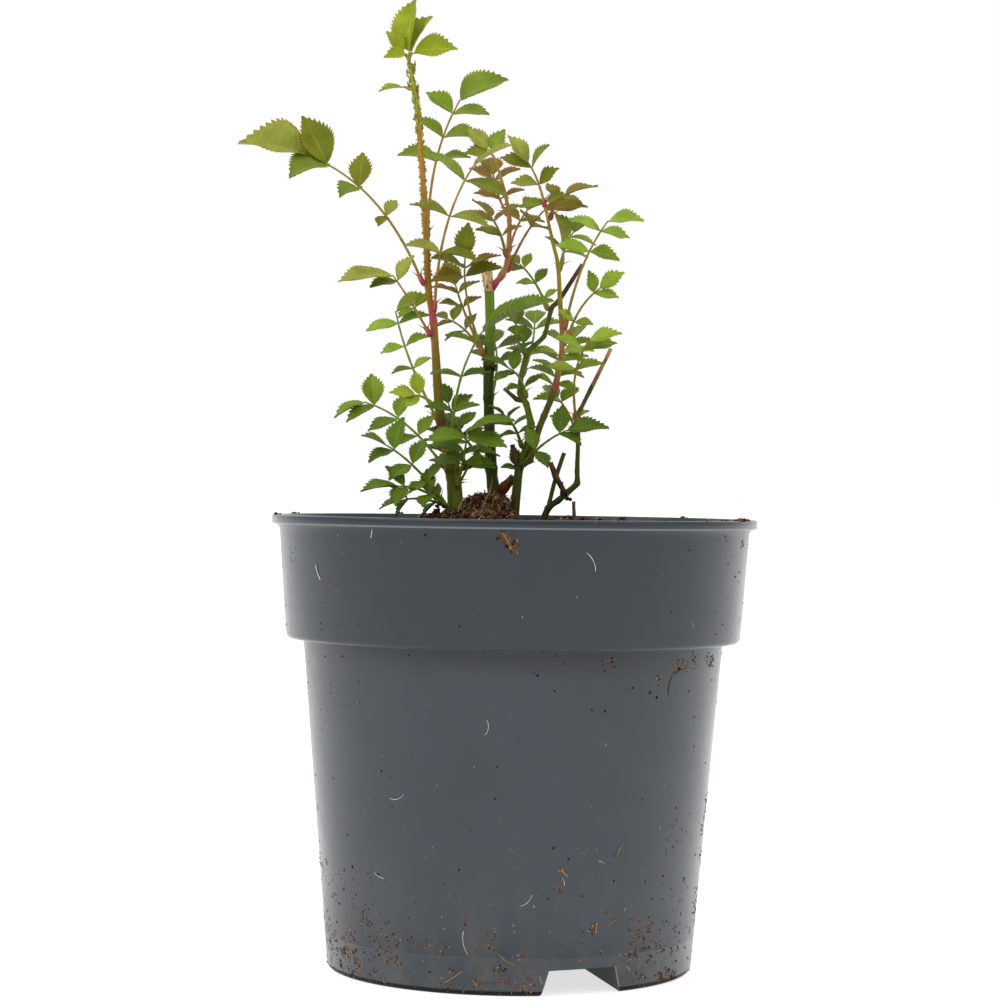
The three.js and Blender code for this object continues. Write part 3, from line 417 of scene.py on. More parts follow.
def settled(mesh, name, nodes=(), sharp=None):
    """The object of a mesh, riding on the part's one body."""
    if sharp:
        shape = bmesh.new()
        shape.from_mesh(mesh)
        limit = math.radians(sharp)
        for edge in shape.edges:
            edge.smooth = len(edge.link_faces) == 2 and edge.calc_face_angle(0) < limit
        shape.to_mesh(mesh)
        shape.free()
    piece = linked(name, mesh)
    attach(piece, "root")
    if nodes:
        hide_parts(*nodes)
    return piece


# ---- Materials ---------------------------------------------------------------------------------

# Factor, A and B of a colour mix, and its result, among the node's many sockets.
COLOUR_MIX_SOCKETS = (0, 6, 7)
COLOUR_MIX_RESULT = 2
# Living (False) and dead (True) bark. Streaks have a stretch up the cane and a depth, and specks a
# scale, radius, strength and colour.
BARK = {
    False: dict(rough=0.45, specular=0.12, stretch=60, depth=0.25, bump=0.25, relief=0.07,
                specks=(900, 0.14, 0.35, 0xB0A070)),
    True: dict(rough=0.75, specular=0.08, stretch=90, depth=0.45, bump=0.5, relief=0.2,
               specks=(520, 0.3, 0.75, 0x2A221C)),
}


def fill_ramp(ramp, stops):
    """Sets a ramp's stops; places come first, because they decide the order of the stops."""
    while len(ramp.elements) < len(stops):
        ramp.elements.new(0.5)
    for element, (place, _) in zip(ramp.elements, stops):
        element.position = place
    for element, (_, colour) in zip(ramp.elements, stops):
        element.color = colour


class Surface:
    """A Principled material whose colour is built up from procedural patterns."""

    def __init__(self, name, roughness, specular=0.5, **sockets):
        self.material = bpy.data.materials.new(name)
        self.material.use_nodes = True
        self.nodes = self.material.node_tree.nodes
        self.links = self.material.node_tree.links
        self.shader = self.nodes["Principled BSDF"]
        self.fill(self.shader, Roughness=roughness, Specular_IOR_Level=specular, **sockets)
        self.where = self.node("TexCoord", "Object")

    def put(self, socket, value):
        if isinstance(value, bpy.types.NodeSocket):
            self.links.new(value, socket)
        else:
            socket.default_value = value

    def fill(self, node, **sockets):
        for name, value in sockets.items():
            self.put(node.inputs[name.replace("_", " ")], value)

    def node(self, kind, output, **sockets):
        """An output of a new node, whose sockets are set to numbers or linked to other outputs."""
        node = self.nodes.new("ShaderNode" + kind)
        self.fill(node, **sockets)
        return node.outputs[output]

    def stretched(self, x, y, z):
        return self.node("Mapping", "Vector", Scale=(x, y, z), Vector=self.where)

    def noise(self, scale, detail=3, rough=0.55, where=None):
        return self.node("TexNoise", "Fac", Scale=scale, Detail=detail, Roughness=rough,
                         Vector=where or self.where)

    def dots(self, scale, radius, where=None):
        """1 inside small dots scattered in space."""
        away = self.node("TexVoronoi", "Distance", Scale=scale, Vector=where or self.where)
        return self.span(away, radius, radius * 0.6)

    def span(self, value, low, high, to_low=0.0, to_high=1.0):
        return self.node("MapRange", "Result", From_Min=low, From_Max=high, To_Min=to_low,
                         To_Max=to_high, Value=value)

    def math(self, kind, a, b=0):
        node = self.nodes.new("ShaderNodeMath")
        node.operation = kind
        for socket, value in zip(node.inputs, (a, b)):
            self.put(socket, value)
        return node.outputs["Value"]

    def times(self, a, b):
        return self.math("MULTIPLY", a, b)

    def height(self, axis="Z"):
        """Height above the floor, or the place along another axis, in millimetres."""
        return self.times(self.node("SeparateXYZ", axis, Vector=self.where), 1 / MM)

    def ramp(self, value, stops):
        node = self.nodes.new("ShaderNodeValToRGB")
        fill_ramp(node.color_ramp, stops)
        self.links.new(value, node.inputs["Fac"])
        return node.outputs["Color"]

    def blend(self, share, a, b, kind="MIX"):
        node = self.nodes.new("ShaderNodeMix")
        node.data_type, node.blend_type = "RGBA", kind
        for i, value in zip(COLOUR_MIX_SOCKETS, (share, a, b)):
            self.put(node.inputs[i], value)
        return node.outputs[COLOUR_MIX_RESULT]

    def colour(self, value):
        self.fill(self.shader, Base_Color=value)
        return self

    def rough(self, value):
        self.fill(self.shader, Roughness=value)
        return self

    def bump(self, value, strength, distance=0.2):
        normal = self.node("Bump", "Normal", Strength=strength, Distance=distance * MM,
                           Height=value)
        self.fill(self.shader, Normal=normal)
        return self


def tinted(name, colour, roughness=0.5, spread=0.22, scale=240, specular=0.3, bump=0.25):
    """A material of one plain colour, a hex code or linear RGB, with a fine, lively variation."""
    surface = Surface(name, roughness, specular)
    base = colour if isinstance(colour, tuple) else linear(colour)
    pale = tuple(min(1, c * (1 + spread)) for c in base[:3]) + (1,)
    deep = tuple(c * (1 - spread) for c in base[:3]) + (1,)
    patch = surface.span(surface.noise(scale), 0.3, 0.7)
    surface.colour(surface.blend(patch, deep, pale))
    surface.bump(surface.noise(scale * 9), bump)
    return surface.material


def bark_surface(name, stops, dead):
    """Bark whose colour changes with the height, streaked along the cane."""
    look = BARK[dead]
    surface = Surface("bark_" + name, look["rough"], look["specular"])
    low, high = stops[0][0], max(stops[-1][0], stops[0][0] + 1)
    wobble = surface.math("SUBTRACT", surface.times(surface.noise(300, 2), 5), 2.5)
    share = surface.span(surface.math("ADD", surface.height(), wobble), low, high)
    base = surface.ramp(share, [((z - low) / (high - low), linear(code)) for z, code in stops])
    streaks = surface.noise(1, 4, 0.6, surface.stretched(1300, 1300, look["stretch"]))
    depth = look["depth"]
    streaked = surface.blend(surface.span(streaks, 0.35, 0.65), (1 - depth,) * 3 + (1,),
                             (1 + depth * 0.6,) * 3 + (1,))
    coloured = surface.blend(1.0, base, streaked, "MULTIPLY")
    scale, radius, strength, code = look["specks"]
    specks = surface.times(surface.dots(scale, radius, surface.stretched(1, 1, 0.6)), strength)
    surface.colour(surface.blend(specks, coloured, linear(code))).bump(streaks, look["bump"], 0.3)
    return surface.material


# Specks on the pot: scale, radius, scale of the patches they keep to, how rare those are, whether
# they thin out upwards, colour.
SPECKS = [
    (520, 0.09, 90, 0.62, False, 0xA8A69C), (430, 0.13, 60, 0.5, True, 0x4A3424),
    (760, 0.14, 45, 0.48, True, 0x5E4630)]


def pot_surface():
    """Slate plastic with painted shade on the band, below the ledge, in the foot's hollow and at
    the floor line, a painted highlight at the lip, and dust, stains and specks.
    """
    surface = Surface("slate_plastic", 0.3, 0.5, Sheen_Weight=0.3, Sheen_Roughness=0.3)
    span, times, blend, noise_of = surface.span, surface.times, surface.blend, surface.noise
    height = surface.height()
    beside = surface.math("ABSOLUTE", surface.height("X"))
    squares = [surface.math("POWER", surface.height(axis), 2) for axis in "XY"]
    out = surface.math("SQRT", surface.math("ADD", *squares))

    body = blend(span(noise_of(14, 4, 0.6), 0.35, 0.65), linear(0x283138), linear(0x2E373E))
    # The band above the ledge is a deeper slate, painted shade for the band's outward tilt.
    slate = blend(span(height, LEDGE - 0.5, LEDGE + 0.5), body, linear(0x1B262E))
    # Painted shade below the ledge, deepest at the front and fading to the sides, kept off the
    # band.
    shade = times(span(height, LEDGE - 11, LEDGE - 2), span(beside, 80, 25, 0.2, 0.75))
    shade = times(shade, span(height, LEDGE + 0.5, LEDGE - 0.5))
    slate = blend(shade, slate, linear(0x14181C))
    # A painted highlight: a pale line along the lip's lower edge.
    under = POT["height"] - POT["lip_height"]
    lip_highlight = times(span(height, under - 0.1, under + 0.1),
                      span(height, under + 0.9, under + 0.6, 0, 0.45))
    slate = blend(lip_highlight, slate, linear(0x8A9298))

    film = noise_of(60, 5, 0.65, surface.stretched(1, 1, 0.5))
    foot = span(height, 56, 2)
    dust = times(times(foot, 0.35), span(film, 0.42, 0.68))
    # Real dust, grime and specks go over the painted shade and highlight.
    dust_and_shade = blend(dust, slate, linear(0x6A6158))
    grime = times(span(noise_of(420, 4, 0.7), 0.6, 0.68), times(foot, 0.85))
    dust_and_shade = blend(grime, dust_and_shade, linear(0x3A2C1E))
    low = span(height, 120, 5, 0.1, 0.9)
    for scale, radius, patches, rare, lower, code in SPECKS:
        specks = times(surface.dots(scale, radius), low if lower else 0.75)
        kept = span(noise_of(patches, 2), rare, rare + 0.06)
        dust_and_shade = blend(times(specks, kept), dust_and_shade, linear(code))

    # Painted shade in the hollow inside the foot, and a painted shadow along the line where the pot
    # meets the floor.
    hollow_shade = times(span(out, 70.4, 69.4), span(height, 13, 11.5))
    contact_shadow = span(height, 2.3, 1.7)
    dust_and_shade = blend(hollow_shade, dust_and_shade, linear(0x0A0B0C))
    surface.colour(blend(contact_shadow, dust_and_shade, linear(0x050607)))
    rough = surface.math("ADD", span(film, 0.3, 0.7, 0.2, 0.3), times(dust, 0.35))
    surface.rough(surface.math("MAXIMUM", rough, surface.math("MAXIMUM", hollow_shade, contact_shadow)))
    surface.bump(noise_of(700, 3), 0.06, 0.15)
    return surface.material


def soil_surface():
    surface = Surface("peat", 0.95, 0.15)
    lumps = surface.noise(220, 5, 0.7)
    base = surface.ramp(lumps, [(0.3, linear(0x140D08)), (0.5, linear(0x2C1E14)),
                                (0.68, linear(0x4A3626)), (0.8, linear(0x66503A))])
    surface.colour(base).bump(surface.noise(900, 5, 0.7), 0.9, 0.6)
    return surface.material


# ---- The pot -----------------------------------------------------------------------------------

LEDGE = POT["height"] - POT["band_height"]


def body_radius(height, inset=0.0):
    return mix(POT["foot"], POT["body_top"], height / LEDGE) - inset


def band_radius(height, inset=0.0):
    return mix(POT["band_bottom"], POT["band_top"], (height - LEDGE) / POT["band_height"]) - inset


def rounded(radius, height, corner, start, end, steps=5):
    turns = [math.radians(mix(start, end, i / steps)) for i in range(steps + 1)]
    return [(radius + corner * math.cos(t), height + corner * math.sin(t)) for t in turns]


def turned(profile):
    """A closed solid of revolution from a profile that starts and ends on the axis."""
    pile, segments = Pile(), POT["segments"]
    points = [Vector((0, 0, profile[0][1])), Vector((0, 0, profile[-1][1]))]
    rings = profile[1:-1]
    for radius, height in rings:
        for k in range(segments):
            turn = 2 * math.pi * k / segments
            points.append(Vector((radius * math.cos(turn), radius * math.sin(turn), height)))
    firsts = [2 + ring * segments for ring in range(len(rings))]
    strips = [[face[::-1] for face in fan_of(firsts[0], segments, 0)],
              fan_of(firsts[-1], segments, 1)]
    strips += [band_of(low, high, segments) for low, high in zip(firsts, firsts[1:])]
    pile.add(points, [face for sector in zip(*strips) for face in sector])
    return pile


def at_channels(points, faces):
    """A shape repeated at each of the drainage channels."""
    pile = Pile()
    for i in range(NOTCH["count"]):
        turn = Matrix.Rotation(math.radians(NOTCH["azimuth"] + 360 * i / NOTCH["count"]), 3, "Z")
        pile.add([turn @ p for p in points], faces)
    return pile


def channels(grow):
    """The drainage channels under the pot, grown by an amount."""
    def section(radius):
        wider = max((POT["foot"] - radius) * NOTCH["spread"], 0) + grow
        foot, top, high = NOTCH["foot"] + wider, NOTCH["top"] + wider, NOTCH["height"] + grow
        low = -NOTCH["below"]
        return [Vector((radius, y, z)) for y, z in
                ((-foot, low), (foot, low), (top, high), (-top, high))]
    wedge = section(NOTCH["inner"] - grow) + section(POT["foot"] + NOTCH["beyond"])
    return at_channels(wedge, [[3, 2, 1, 0], [4, 5, 6, 7]] + band_of(0, 4, 4))


def drains():
    """The round hole in the roof of each channel."""
    sides, place, radius = 24, NOTCH["drain_place"], NOTCH["drain"]
    turns = [2 * math.pi * k / sides for k in range(sides)]
    ring = [Vector((place + radius * math.cos(turn), radius * math.sin(turn), z))
            for z in (NOTCH["height"] - 2, NOTCH["height"] + 4) for turn in turns]
    ends = [list(range(sides))[::-1], list(range(sides, 2 * sides))]
    return at_channels(ring, ends + band_of(0, sides, sides))


def carved(pile, piles, tools=()):
    """The mesh of a solid with others taken away from it, which are then removed."""
    piece = linked("carved", pile.mesh("carved"))
    tools = [*tools, *[linked(name, tool.mesh(name)) for name, tool in piles.items()]]
    for tool in tools:
        cut = piece.modifiers.new(tool.name, "BOOLEAN")
        cut.operation, cut.object, cut.solver = "DIFFERENCE", tool, "EXACT"
    graph = bpy.context.evaluated_depsgraph_get()
    mesh = bpy.data.meshes.new_from_object(piece.evaluated_get(graph))
    for gone in (piece, *tools):
        bpy.data.objects.remove(gone)
    return mesh


def make_pot():
    height, wall, edge, lip = POT["height"], POT["wall"], POT["lip_edge"], POT["lip_radius"]
    under = height - POT["lip_height"]
    band, corner, foot = band_radius(LEDGE), POT["band_corner"], POT["foot_corner"]
    fillet, seam, lowest = POT["lip_fillet"], POT["seam"], POT["lowest_ring"]
    beside = POT["seam_width"]
    outside = turned(
        [(0, 0)] + rounded(POT["foot"] - foot, foot, foot, -90, 0)
        + [(body_radius(lowest), lowest), (body_radius(seam - beside), seam - beside),
           (body_radius(seam) + POT["seam_height"], seam),
           (body_radius(seam + beside), seam + beside)]
        + [(body_radius(h), h) for h in (40, 70, 100, LEDGE - 1, LEDGE)]
        + rounded(band - corner, LEDGE + corner, corner, -90, 0)
        + [(band_radius(h), h)
           for h in (LEDGE + 12, LEDGE + 26, under - fillet * 2, under - fillet)]
        + [(band_radius(under) + fillet * 0.35, under - fillet * 0.3), (lip - edge, under)]
        + [(lip - edge * 0.25, under + edge * 0.3), (lip, under + edge)]
        + rounded(lip - edge, height - edge, edge, 0, 90, 3) + [(0, height)])
    ledge, mouth, top = LEDGE + wall, band_radius(height, wall) + POT["mouth_flare"], height + 10
    inside = turned(
        [(0, wall), (body_radius(wall, wall) - 1, wall), (body_radius(wall, wall), wall + 1),
         (body_radius(LEDGE, wall), ledge - 2), (body_radius(LEDGE, wall) + 1, ledge),
         (band_radius(ledge, wall) - 1, ledge), (band_radius(ledge, wall), ledge + 1),
         (band_radius(height - 1, wall), height - 1), (mouth, height + 0.01), (mouth, top),
         (0, top)])
    room = linked("room_cut", carved(inside, {"channels_grown": channels(wall)}))
    mesh = carved(outside, {"channels": channels(0), "drains": drains()}, [room])
    mesh.materials.clear()
    mesh.materials.append(pot_surface())
    mesh.polygons.foreach_set("use_smooth", [True] * len(mesh.polygons))
    settled(mesh, "pot_shell", ["pot"], sharp=34)


# ---- The potting soil --------------------------------------------------------------------------

def soil_height(x, y):
    away = ((x - SOIL["mound_x"]) / SOIL["left" if x < SOIL["mound_x"] else "right"]) ** 2
    away += ((y - SOIL["mound_y"]) / SOIL["spread_y"]) ** 2
    a, b, c, d = SOIL["lump_turns"]
    lumps = math.sin(x * a) * math.cos(y * b) + SOIL["slow_lumps"] * math.sin(x * c - y * d)
    mound = SOIL["mound"] * math.exp(-(away ** SOIL["steepness"]))
    return SOIL["level"] + mound + SOIL["lump_height"] * lumps


def on_soil(x, y, above=0.0):
    return Vector((x, y, soil_height(x, y) + above))


def anywhere(draw, reach):
    """A random place on the soil, within a share of its reach."""
    radius, turn = SOIL_REACH * reach * math.sqrt(abs(draw())), math.pi * draw()
    return radius * math.cos(turn), radius * math.sin(turn)


def near_mound(draw, right, wide, back, deep):
    """A random place near the mound, from a shifted middle and how far it may be from it."""
    return SOIL["mound_x"] + right + wide * draw(), SOIL["mound_y"] + back + deep * draw()


def many(kind):
    """How many bits of a kind are scattered."""
    return COUNTS[kind][0]


def lump(pile, centre, size, draw, kind=0, flat=1.0):
    """A small rough crumb."""
    turn = Matrix.Rotation(draw() * math.pi, 3, "Z") @ Matrix.Rotation(draw() * math.pi, 3, "X")
    points = []
    for x, y, z in CRUMB_POINTS:
        grown = size * (1 + 0.35 * draw())
        spot = turn @ Vector((x * grown, y * grown * (1 + 0.3 * draw()), z * grown))
        points.append(centre + Vector((spot.x, spot.y, spot.z * flat)))
    pile.add(points, CRUMB_FACES, kind)


def icosahedron():
    """The points and faces of a crumb before it is roughened."""
    g = (1 + 5 ** 0.5) / 2
    points = [Vector(p).normalized() for p in
              ((-1, g, 0), (1, g, 0), (-1, -g, 0), (1, -g, 0), (0, -1, g), (0, 1, g), (0, -1, -g),
               (0, 1, -g), (g, 0, -1), (g, 0, 1), (-g, 0, -1), (-g, 0, 1))]
    faces = [(0, 11, 5), (0, 5, 1), (0, 1, 7), (0, 7, 10), (0, 10, 11), (1, 5, 9), (5, 11, 4),
             (11, 10, 2), (10, 7, 6), (7, 1, 8), (3, 9, 4), (3, 4, 2), (3, 2, 6), (3, 6, 8),
             (3, 8, 9), (4, 9, 5), (2, 4, 11), (6, 2, 10), (8, 6, 7), (9, 8, 1)]
    return points, [list(f) for f in faces]


CRUMB_POINTS, CRUMB_FACES = icosahedron()
SOIL_REACH = band_radius(SOIL["level"], POT["wall"]) - 0.1


def hair(pile, start, way, up, length, radius, bend, draw, kind=0, sides=4, steps=7):
    """A thin fibre that curls as it goes."""
    points, here, turn_axis = [start], start, way.cross(up).normalized()
    for i in range(steps):
        way = (Matrix.Rotation(bend / steps * (1 + 0.5 * draw()), 3, turn_axis) @ way).normalized()
        way = (way + up * 0.12 * draw()).normalized()
        here = here + way * (length / steps)
        points.append(here)
    radii = [radius * (1 - 0.5 * i / steps) for i in range(steps + 1)]
    tube(pile, points, radii, sides, kind)


def tube(pile, points, radii, sides, kind=0, relief=0.0, seed=0.0, cut=None):
    """A closed tube through points; relief roughens it, and cut gives its end face another kind."""
    last = len(points) - 1
    tangents = [(points[min(i + 1, last)] - points[max(i - 1, 0)]).normalized()
                for i in range(last + 1)]
    side = across(Vector((0.02, -1, 0.01)), tangents[0])
    made, run = [], 0.0
    for i, point in enumerate(points):
        side = across(side, tangents[i])
        other = tangents[i].cross(side)
        if i:
            run += (point - points[i - 1]).length
        for k in range(sides):
            turn = 2 * math.pi * k / sides
            radius, x, y = radii[i], math.cos(turn), math.sin(turn)
            if relief:
                ridge = noise.noise(Vector((x * 2.2, y * 2.2, run * 0.16 + seed)))
                grain = noise.noise(Vector((x * 6, y * 6, run * 0.5 - seed)))
                radius *= 1 + relief * (ridge + 0.6 * grain)
            made.append(point + side * (radius * x) + other * (radius * y))
    faces = [face for i in range(last) for face in band_of(i * sides, (i + 1) * sides, sides)]
    faces.append(list(range(sides))[::-1])
    top = last * sides
    if cut is None:
        faces.append([top + k for k in range(sides)])
    kinds = [kind] * len(faces)
    if cut is not None:
        base = len(made)
        made += [points[last] * 0.3 + made[top + k] * 0.7 - tangents[last] * (radii[last] * 0.12)
                 for k in range(sides)]
        made.append(points[last] - tangents[last] * (radii[last] * 0.3))
        faces += band_of(top, base, sides) + fan_of(base, sides, base + sides)
        kinds += [cut] * (2 * sides)
    pile.add(made, faces, kinds)


def make_soil():
    """The soil itself: a rough surface, closed by a skirt and a floor inside the pot."""
    rings, segments = SOIL["rings"], SOIL["segments"]
    points = [on_soil(0, 0)]
    for ring in range(1, rings + 1):
        radius = SOIL_REACH * ring / rings
        for k in range(segments):
            turn = 2 * math.pi * k / segments
            x, y = radius * math.cos(turn), radius * math.sin(turn)
            rough = 1.1 * noise.noise(Vector((x * 0.35, y * 0.35, 3)))
            rough += 0.5 * noise.noise(Vector((x, y, 9)))
            points.append(on_soil(x, y, rough if ring < rings else -0.5))
    outer, floor = len(points) - segments, len(points)
    points += [Vector((p.x, p.y, SOIL["floor"])) for p in points[outer:]]
    faces = [[0, 1 + k, 1 + (k + 1) % segments] for k in range(segments)]
    for first in range(1, floor, segments):
        faces += flipped(band_of(first, first + segments, segments))
    faces.append([floor + k for k in range(segments)][::-1])
    pile = Pile()
    pile.add(points, faces)
    pile.made("potting_soil", [soil_surface()], "potting_soil", ["soil"])


def make_litter(bits, hairs):
    """Crumbs, fibres, mossy clods and twigs on the soil."""
    draw = seeded(7)
    crumbs, fibres = Pile(), Pile()
    for i in range(many("crumbs")):
        x, y = near_mound(draw, -4, 20, 0, 26) if i % 5 < 3 else anywhere(draw, 0.97)
        size = 0.35 + 1.1 * abs(draw()) ** 3
        lump(crumbs, on_soil(x, y, size * 0.3), size, draw, pick(draw, (0, 0, 0, 1, 1, 2)), FLAT)
    for i in range(many("fibres")):
        x, y = near_mound(draw, 0, 18, -5, 18) if i % 2 else anywhere(draw, 0.93)
        way = heading(180 * draw(), 90 * draw())
        way.z = 0.16 + 0.16 * draw() if i % 2 else 0.1
        hair(fibres, on_soil(x, y, 0.5), way.normalized(), DOWN, 2.5 + 6 * abs(draw()),
             0.09 + 0.12 * abs(draw()), 1.2 * draw() + 1.1, draw, pick(draw, (0, 1, 2)), 3, 5)
    for _ in range(many("shreds")):
        x, y = near_mound(draw, -5, 17, -3, 20)
        way = heading(90 * draw(), 180 * draw())
        way.z = 0.35 * draw()
        hair(fibres, on_soil(x, y, 0.2 + 0.5 * abs(draw())), way.normalized(), DOWN,
             1.3 + 1.6 * abs(draw()), 0.22 + 0.2 * abs(draw()), 3 * draw(), draw,
             pick(draw, (0, 3, 3, 0, 1)), 4, 5)
    for x, y, size in CLODS:
        lump(crumbs, on_soil(x, y, 0.35 * size), size * 0.85, draw)
        for _ in range(many("clod")):
            aside, back = 1.5 * size * draw(), 1.5 * size * draw()
            heap = math.exp(-(aside ** 2 + back ** 2) / size ** 2)
            lump(crumbs, on_soil(x + aside, y + back, 1.55 * size * heap), 0.4 + 0.6 * abs(draw()),
                 draw, pick(draw, (0, 1, 3, 3, 0, 2)), FLAT)
    for x, y, lean, length, radius, kind in TWIGS:
        hair(fibres, on_soil(x, y, -0.5), heading(lean, 8), RIGHT, length, radius, 0.25, draw,
             kind, 5)
    crumbs.made("soil_crumbs", bits, "potting_soil", smooth=False)
    fibres.made("soil_fibres", hairs, "potting_soil")


COUNTS = dict(crumbs=(5200, 400), fibres=(900, 60), shreds=(1500, 100), clod=(170, 20),
              specks=(1500, 150), wall_hairs=(90, 20), wall_heaps=(120, 20))
# How far crumbs are flattened.
FLAT = 0.8
# Their materials: name, colour, roughness, variation, scale, specular, bump.
CRUMBS = [
    ("crumb_dark", 0x34221A, 0.95, 0.4, 700, 0.05, 0.8),
    ("crumb_brown", 0x664630, 0.92, 0.35, 700, 0.05, 0.8),
    ("crumb_tan", 0x8C6C4A, 0.9, 0.3, 700, 0.08, 0.6),
    ("crumb_moss", 0x4C4620, 0.95, 0.4, 700, 0.05, 0.8)]
FIBRES = [
    ("fibre_brown", 0x6A4A30, 0.85, 0.3, 500, 0.1), ("fibre_tan", 0x8A7052, 0.85, 0.3, 500, 0.1),
    ("fibre_pale", 0xCCC2AA, 0.85, 0.25, 500, 0.1), ("fibre_dark", 0x33251B, 0.9, 0.3, 500, 0.05)]
# Single twigs and pale hairs standing in the soil: foot, lean, length, thickness, kind.
TWIGS = [
    (-10.6, -9, 2, 9, 0.4, 1), (-15, -12, 46, 9, 0.35, 1), (-13, -14, 20, 8, 0.3, 1),
    (-23, -13, 20, 8.5, 0.14, 2), (-2.5, -9, 8, 5, 0.35, 1), (4, -8, 40, 7, 0.2, 0),
    (26, 2, -10, 6, 0.3, 0), (31, -3, 25, 4, 0.2, 1), (40, 1, 50, 4, 0.18, 0)]

# Mossy clods on the soil: place and size.
CLODS = [
    (6, 12, 5.0), (12, 24, 5.3), (17, 11, 4.9), (22, 27, 5.4), (28, 16, 5.0), (34, 28, 5.2),
    (-1, 28, 5.3), (-30, 10, 4.8), (-36, 22, 4.8), (44, 20, 4.7), (62, -20, 4.6)]
# Pale hairs and crumbs on the lip: azimuth, how many crumbs, their size, length of the hair or 0.
ON_LIP = [
    (-23.5, 16, 1.1, 8), (-26, 10, 0.9, 0), (-20, 8, 0.8, 0), (-41, 5, 0.5, 5), (-33, 6, 0.6, 0),
    (-30, 5, 0.5, 0), (-70, 3, 0.4, 0), (-55, 3, 0.4, 0), (-119, 4, 0.5, 0), (40, 5, 0.7, 0),
    (120, 5, 0.7, 0), (160, 5, 0.7, 0), (-170, 5, 0.8, 0)]


# ---- Dirt on the pot ---------------------------------------------------------------------------

def on_wall(azimuth, height, out=0.0):
    """A spot on the pot's outer wall and the wall's outward direction there."""
    radius = (body_radius(height) if height < LEDGE else band_radius(height)) + out
    turn = math.radians(azimuth)
    return level(turn) * radius + UP * height, level(turn)


# Clusters of crumbs seen on the wall: azimuth, height, spread, how many, size.
CLUSTERS = [
    (-94, 171.5, 2.2, 26, 0.75), (-92, 168, 2.6, 30, 0.8), (-91, 166.3, 1.8, 16, 0.6),
    (-77, 40.3, 1.7, 24, 0.5), (-77, 47, 0.8, 8, 0.5), (-66, 24.5, 2.4, 26, 0.55),
    (-66, 125, 3.4, 26, 0.5), (-40, 122, 3.6, 34, 0.6), (-34, 124, 3, 20, 0.55),
    (-48.6, 117, 1.6, 14, 0.55), (-94, 10, 2, 20, 0.6), (-97, 19, 2.4, 16, 0.5),
    (-104, 27, 1.6, 10, 0.45), (-86, 4.5, 4, 26, 0.5), (-52, 14, 4, 26, 0.6), (-57, 6, 3, 18, 0.5),
    (-116, 19, 2.5, 14, 0.5), (-36, 60, 6, 20, 0.5), (-80, 124, 4, 14, 0.4),
    (-31, 170, 2, 10, 0.5), (64, 30, 4, 24, 0.6), (150, 18, 5, 30, 0.6), (110, 120, 4, 20, 0.5),
    (-170, 40, 5, 22, 0.5), (-22, 122, 3, 26, 0.55), (-26, 124, 2.5, 18, 0.5),
    (-11, 66, 4, 26, 0.55), (-14, 57, 3, 14, 0.5), (-12, 47, 3, 14, 0.5), (-13, 27, 6, 30, 0.55),
    (-166, 16, 7, 50, 0.42), (-160, 12, 6, 40, 0.4), (-150, 8, 5, 30, 0.4), (-19, 168, 2, 12, 0.5),
    (-160, 160, 6, 16, 0.35)]
# Single fibres on the wall: azimuth, height, lean along the wall, length, thickness, bend, kind.
WALL_FIBRES = [
    (-126.1, 169, 20, 4.5, 0.2, 0.3, 2), (-74.5, 164.8, 120, 8, 0.14, -0.9, 2),
    (-95, 173.4, 150, 8, 0.5, 0.2, 0), (-94, 172, 140, 7, 0.45, -0.3, 1),
    (-92.6, 170, 165, 6, 0.4, 0.3, 0), (-145.7, 158, 170, 6, 0.22, 0.5, 2),
    (-133.7, 43, 130, 5, 0.12, 0.6, 2), (-110.3, 4.4, 62, 8, 0.25, 0.2, 1),
    (-100.5, 5, 92, 12, 0.18, 0.1, 0), (-94, 16, 150, 7, 0.2, 0.8, 1),
    (-65.2, 27, 190, 4, 0.35, 0.3, 1), (-76.7, 48, 160, 4, 0.4, 0.5, 1),
    (-98.3, 97.3, 60, 6, 0.1, 1.6, 2), (-126.7, 72, 120, 7, 0.1, 1.4, 2),
    (-37, 122, 250, 12, 0.14, -0.9, 1), (-44, 118, 215, 7, 0.16, 0.7, 0),
    (-40, 121, 235, 6, 0.2, -0.5, 0), (-60, 52, 40, 5, 0.2, 0.4, 1),
    (-104.5, 24, 200, 9, 0.1, 1.0, 2), (-88, 34, 80, 6, 0.1, 1.2, 2)]


# Parts of the wall that keep clean: above the floor, below the rim, round the ledge, and the
# degrees to each side of a drainage channel.
CLEAN = dict(floor=0.8, rim=5, below_ledge=1.2, above_ledge=2.5, channel=13)


def spared(azimuth, height):
    """Whether a place on the wall keeps clean."""
    ledge = LEDGE - CLEAN["below_ledge"] < height < LEDGE + CLEAN["above_ledge"]
    if not CLEAN["floor"] < height < POT["height"] - CLEAN["rim"] or ledge:
        return True
    aside = [(azimuth - NOTCH["azimuth"] - 360 / NOTCH["count"] * i + 180) % 360 - 180
             for i in range(NOTCH["count"])]
    return height < NOTCH["height"] + 1 and min(abs(d) for d in aside) < CLEAN["channel"]


def speck(pile, azimuth, height, size, kind, draw):
    """A crumb that sticks to the wall."""
    if spared(azimuth, height):
        return
    spot, away = on_wall(azimuth, height, size * 0.15)
    side = Vector((-away.y, away.x, 0))
    points = []
    for p in CRUMB_POINTS:
        grown = size * (1 + 0.4 * draw())
        points.append(spot + side * (p.x * grown) + UP * (p.z * grown * (1 + 0.4 * draw()))
                      + away * (p.y * grown * 0.45))
    pile.add(points, CRUMB_FACES, kind)


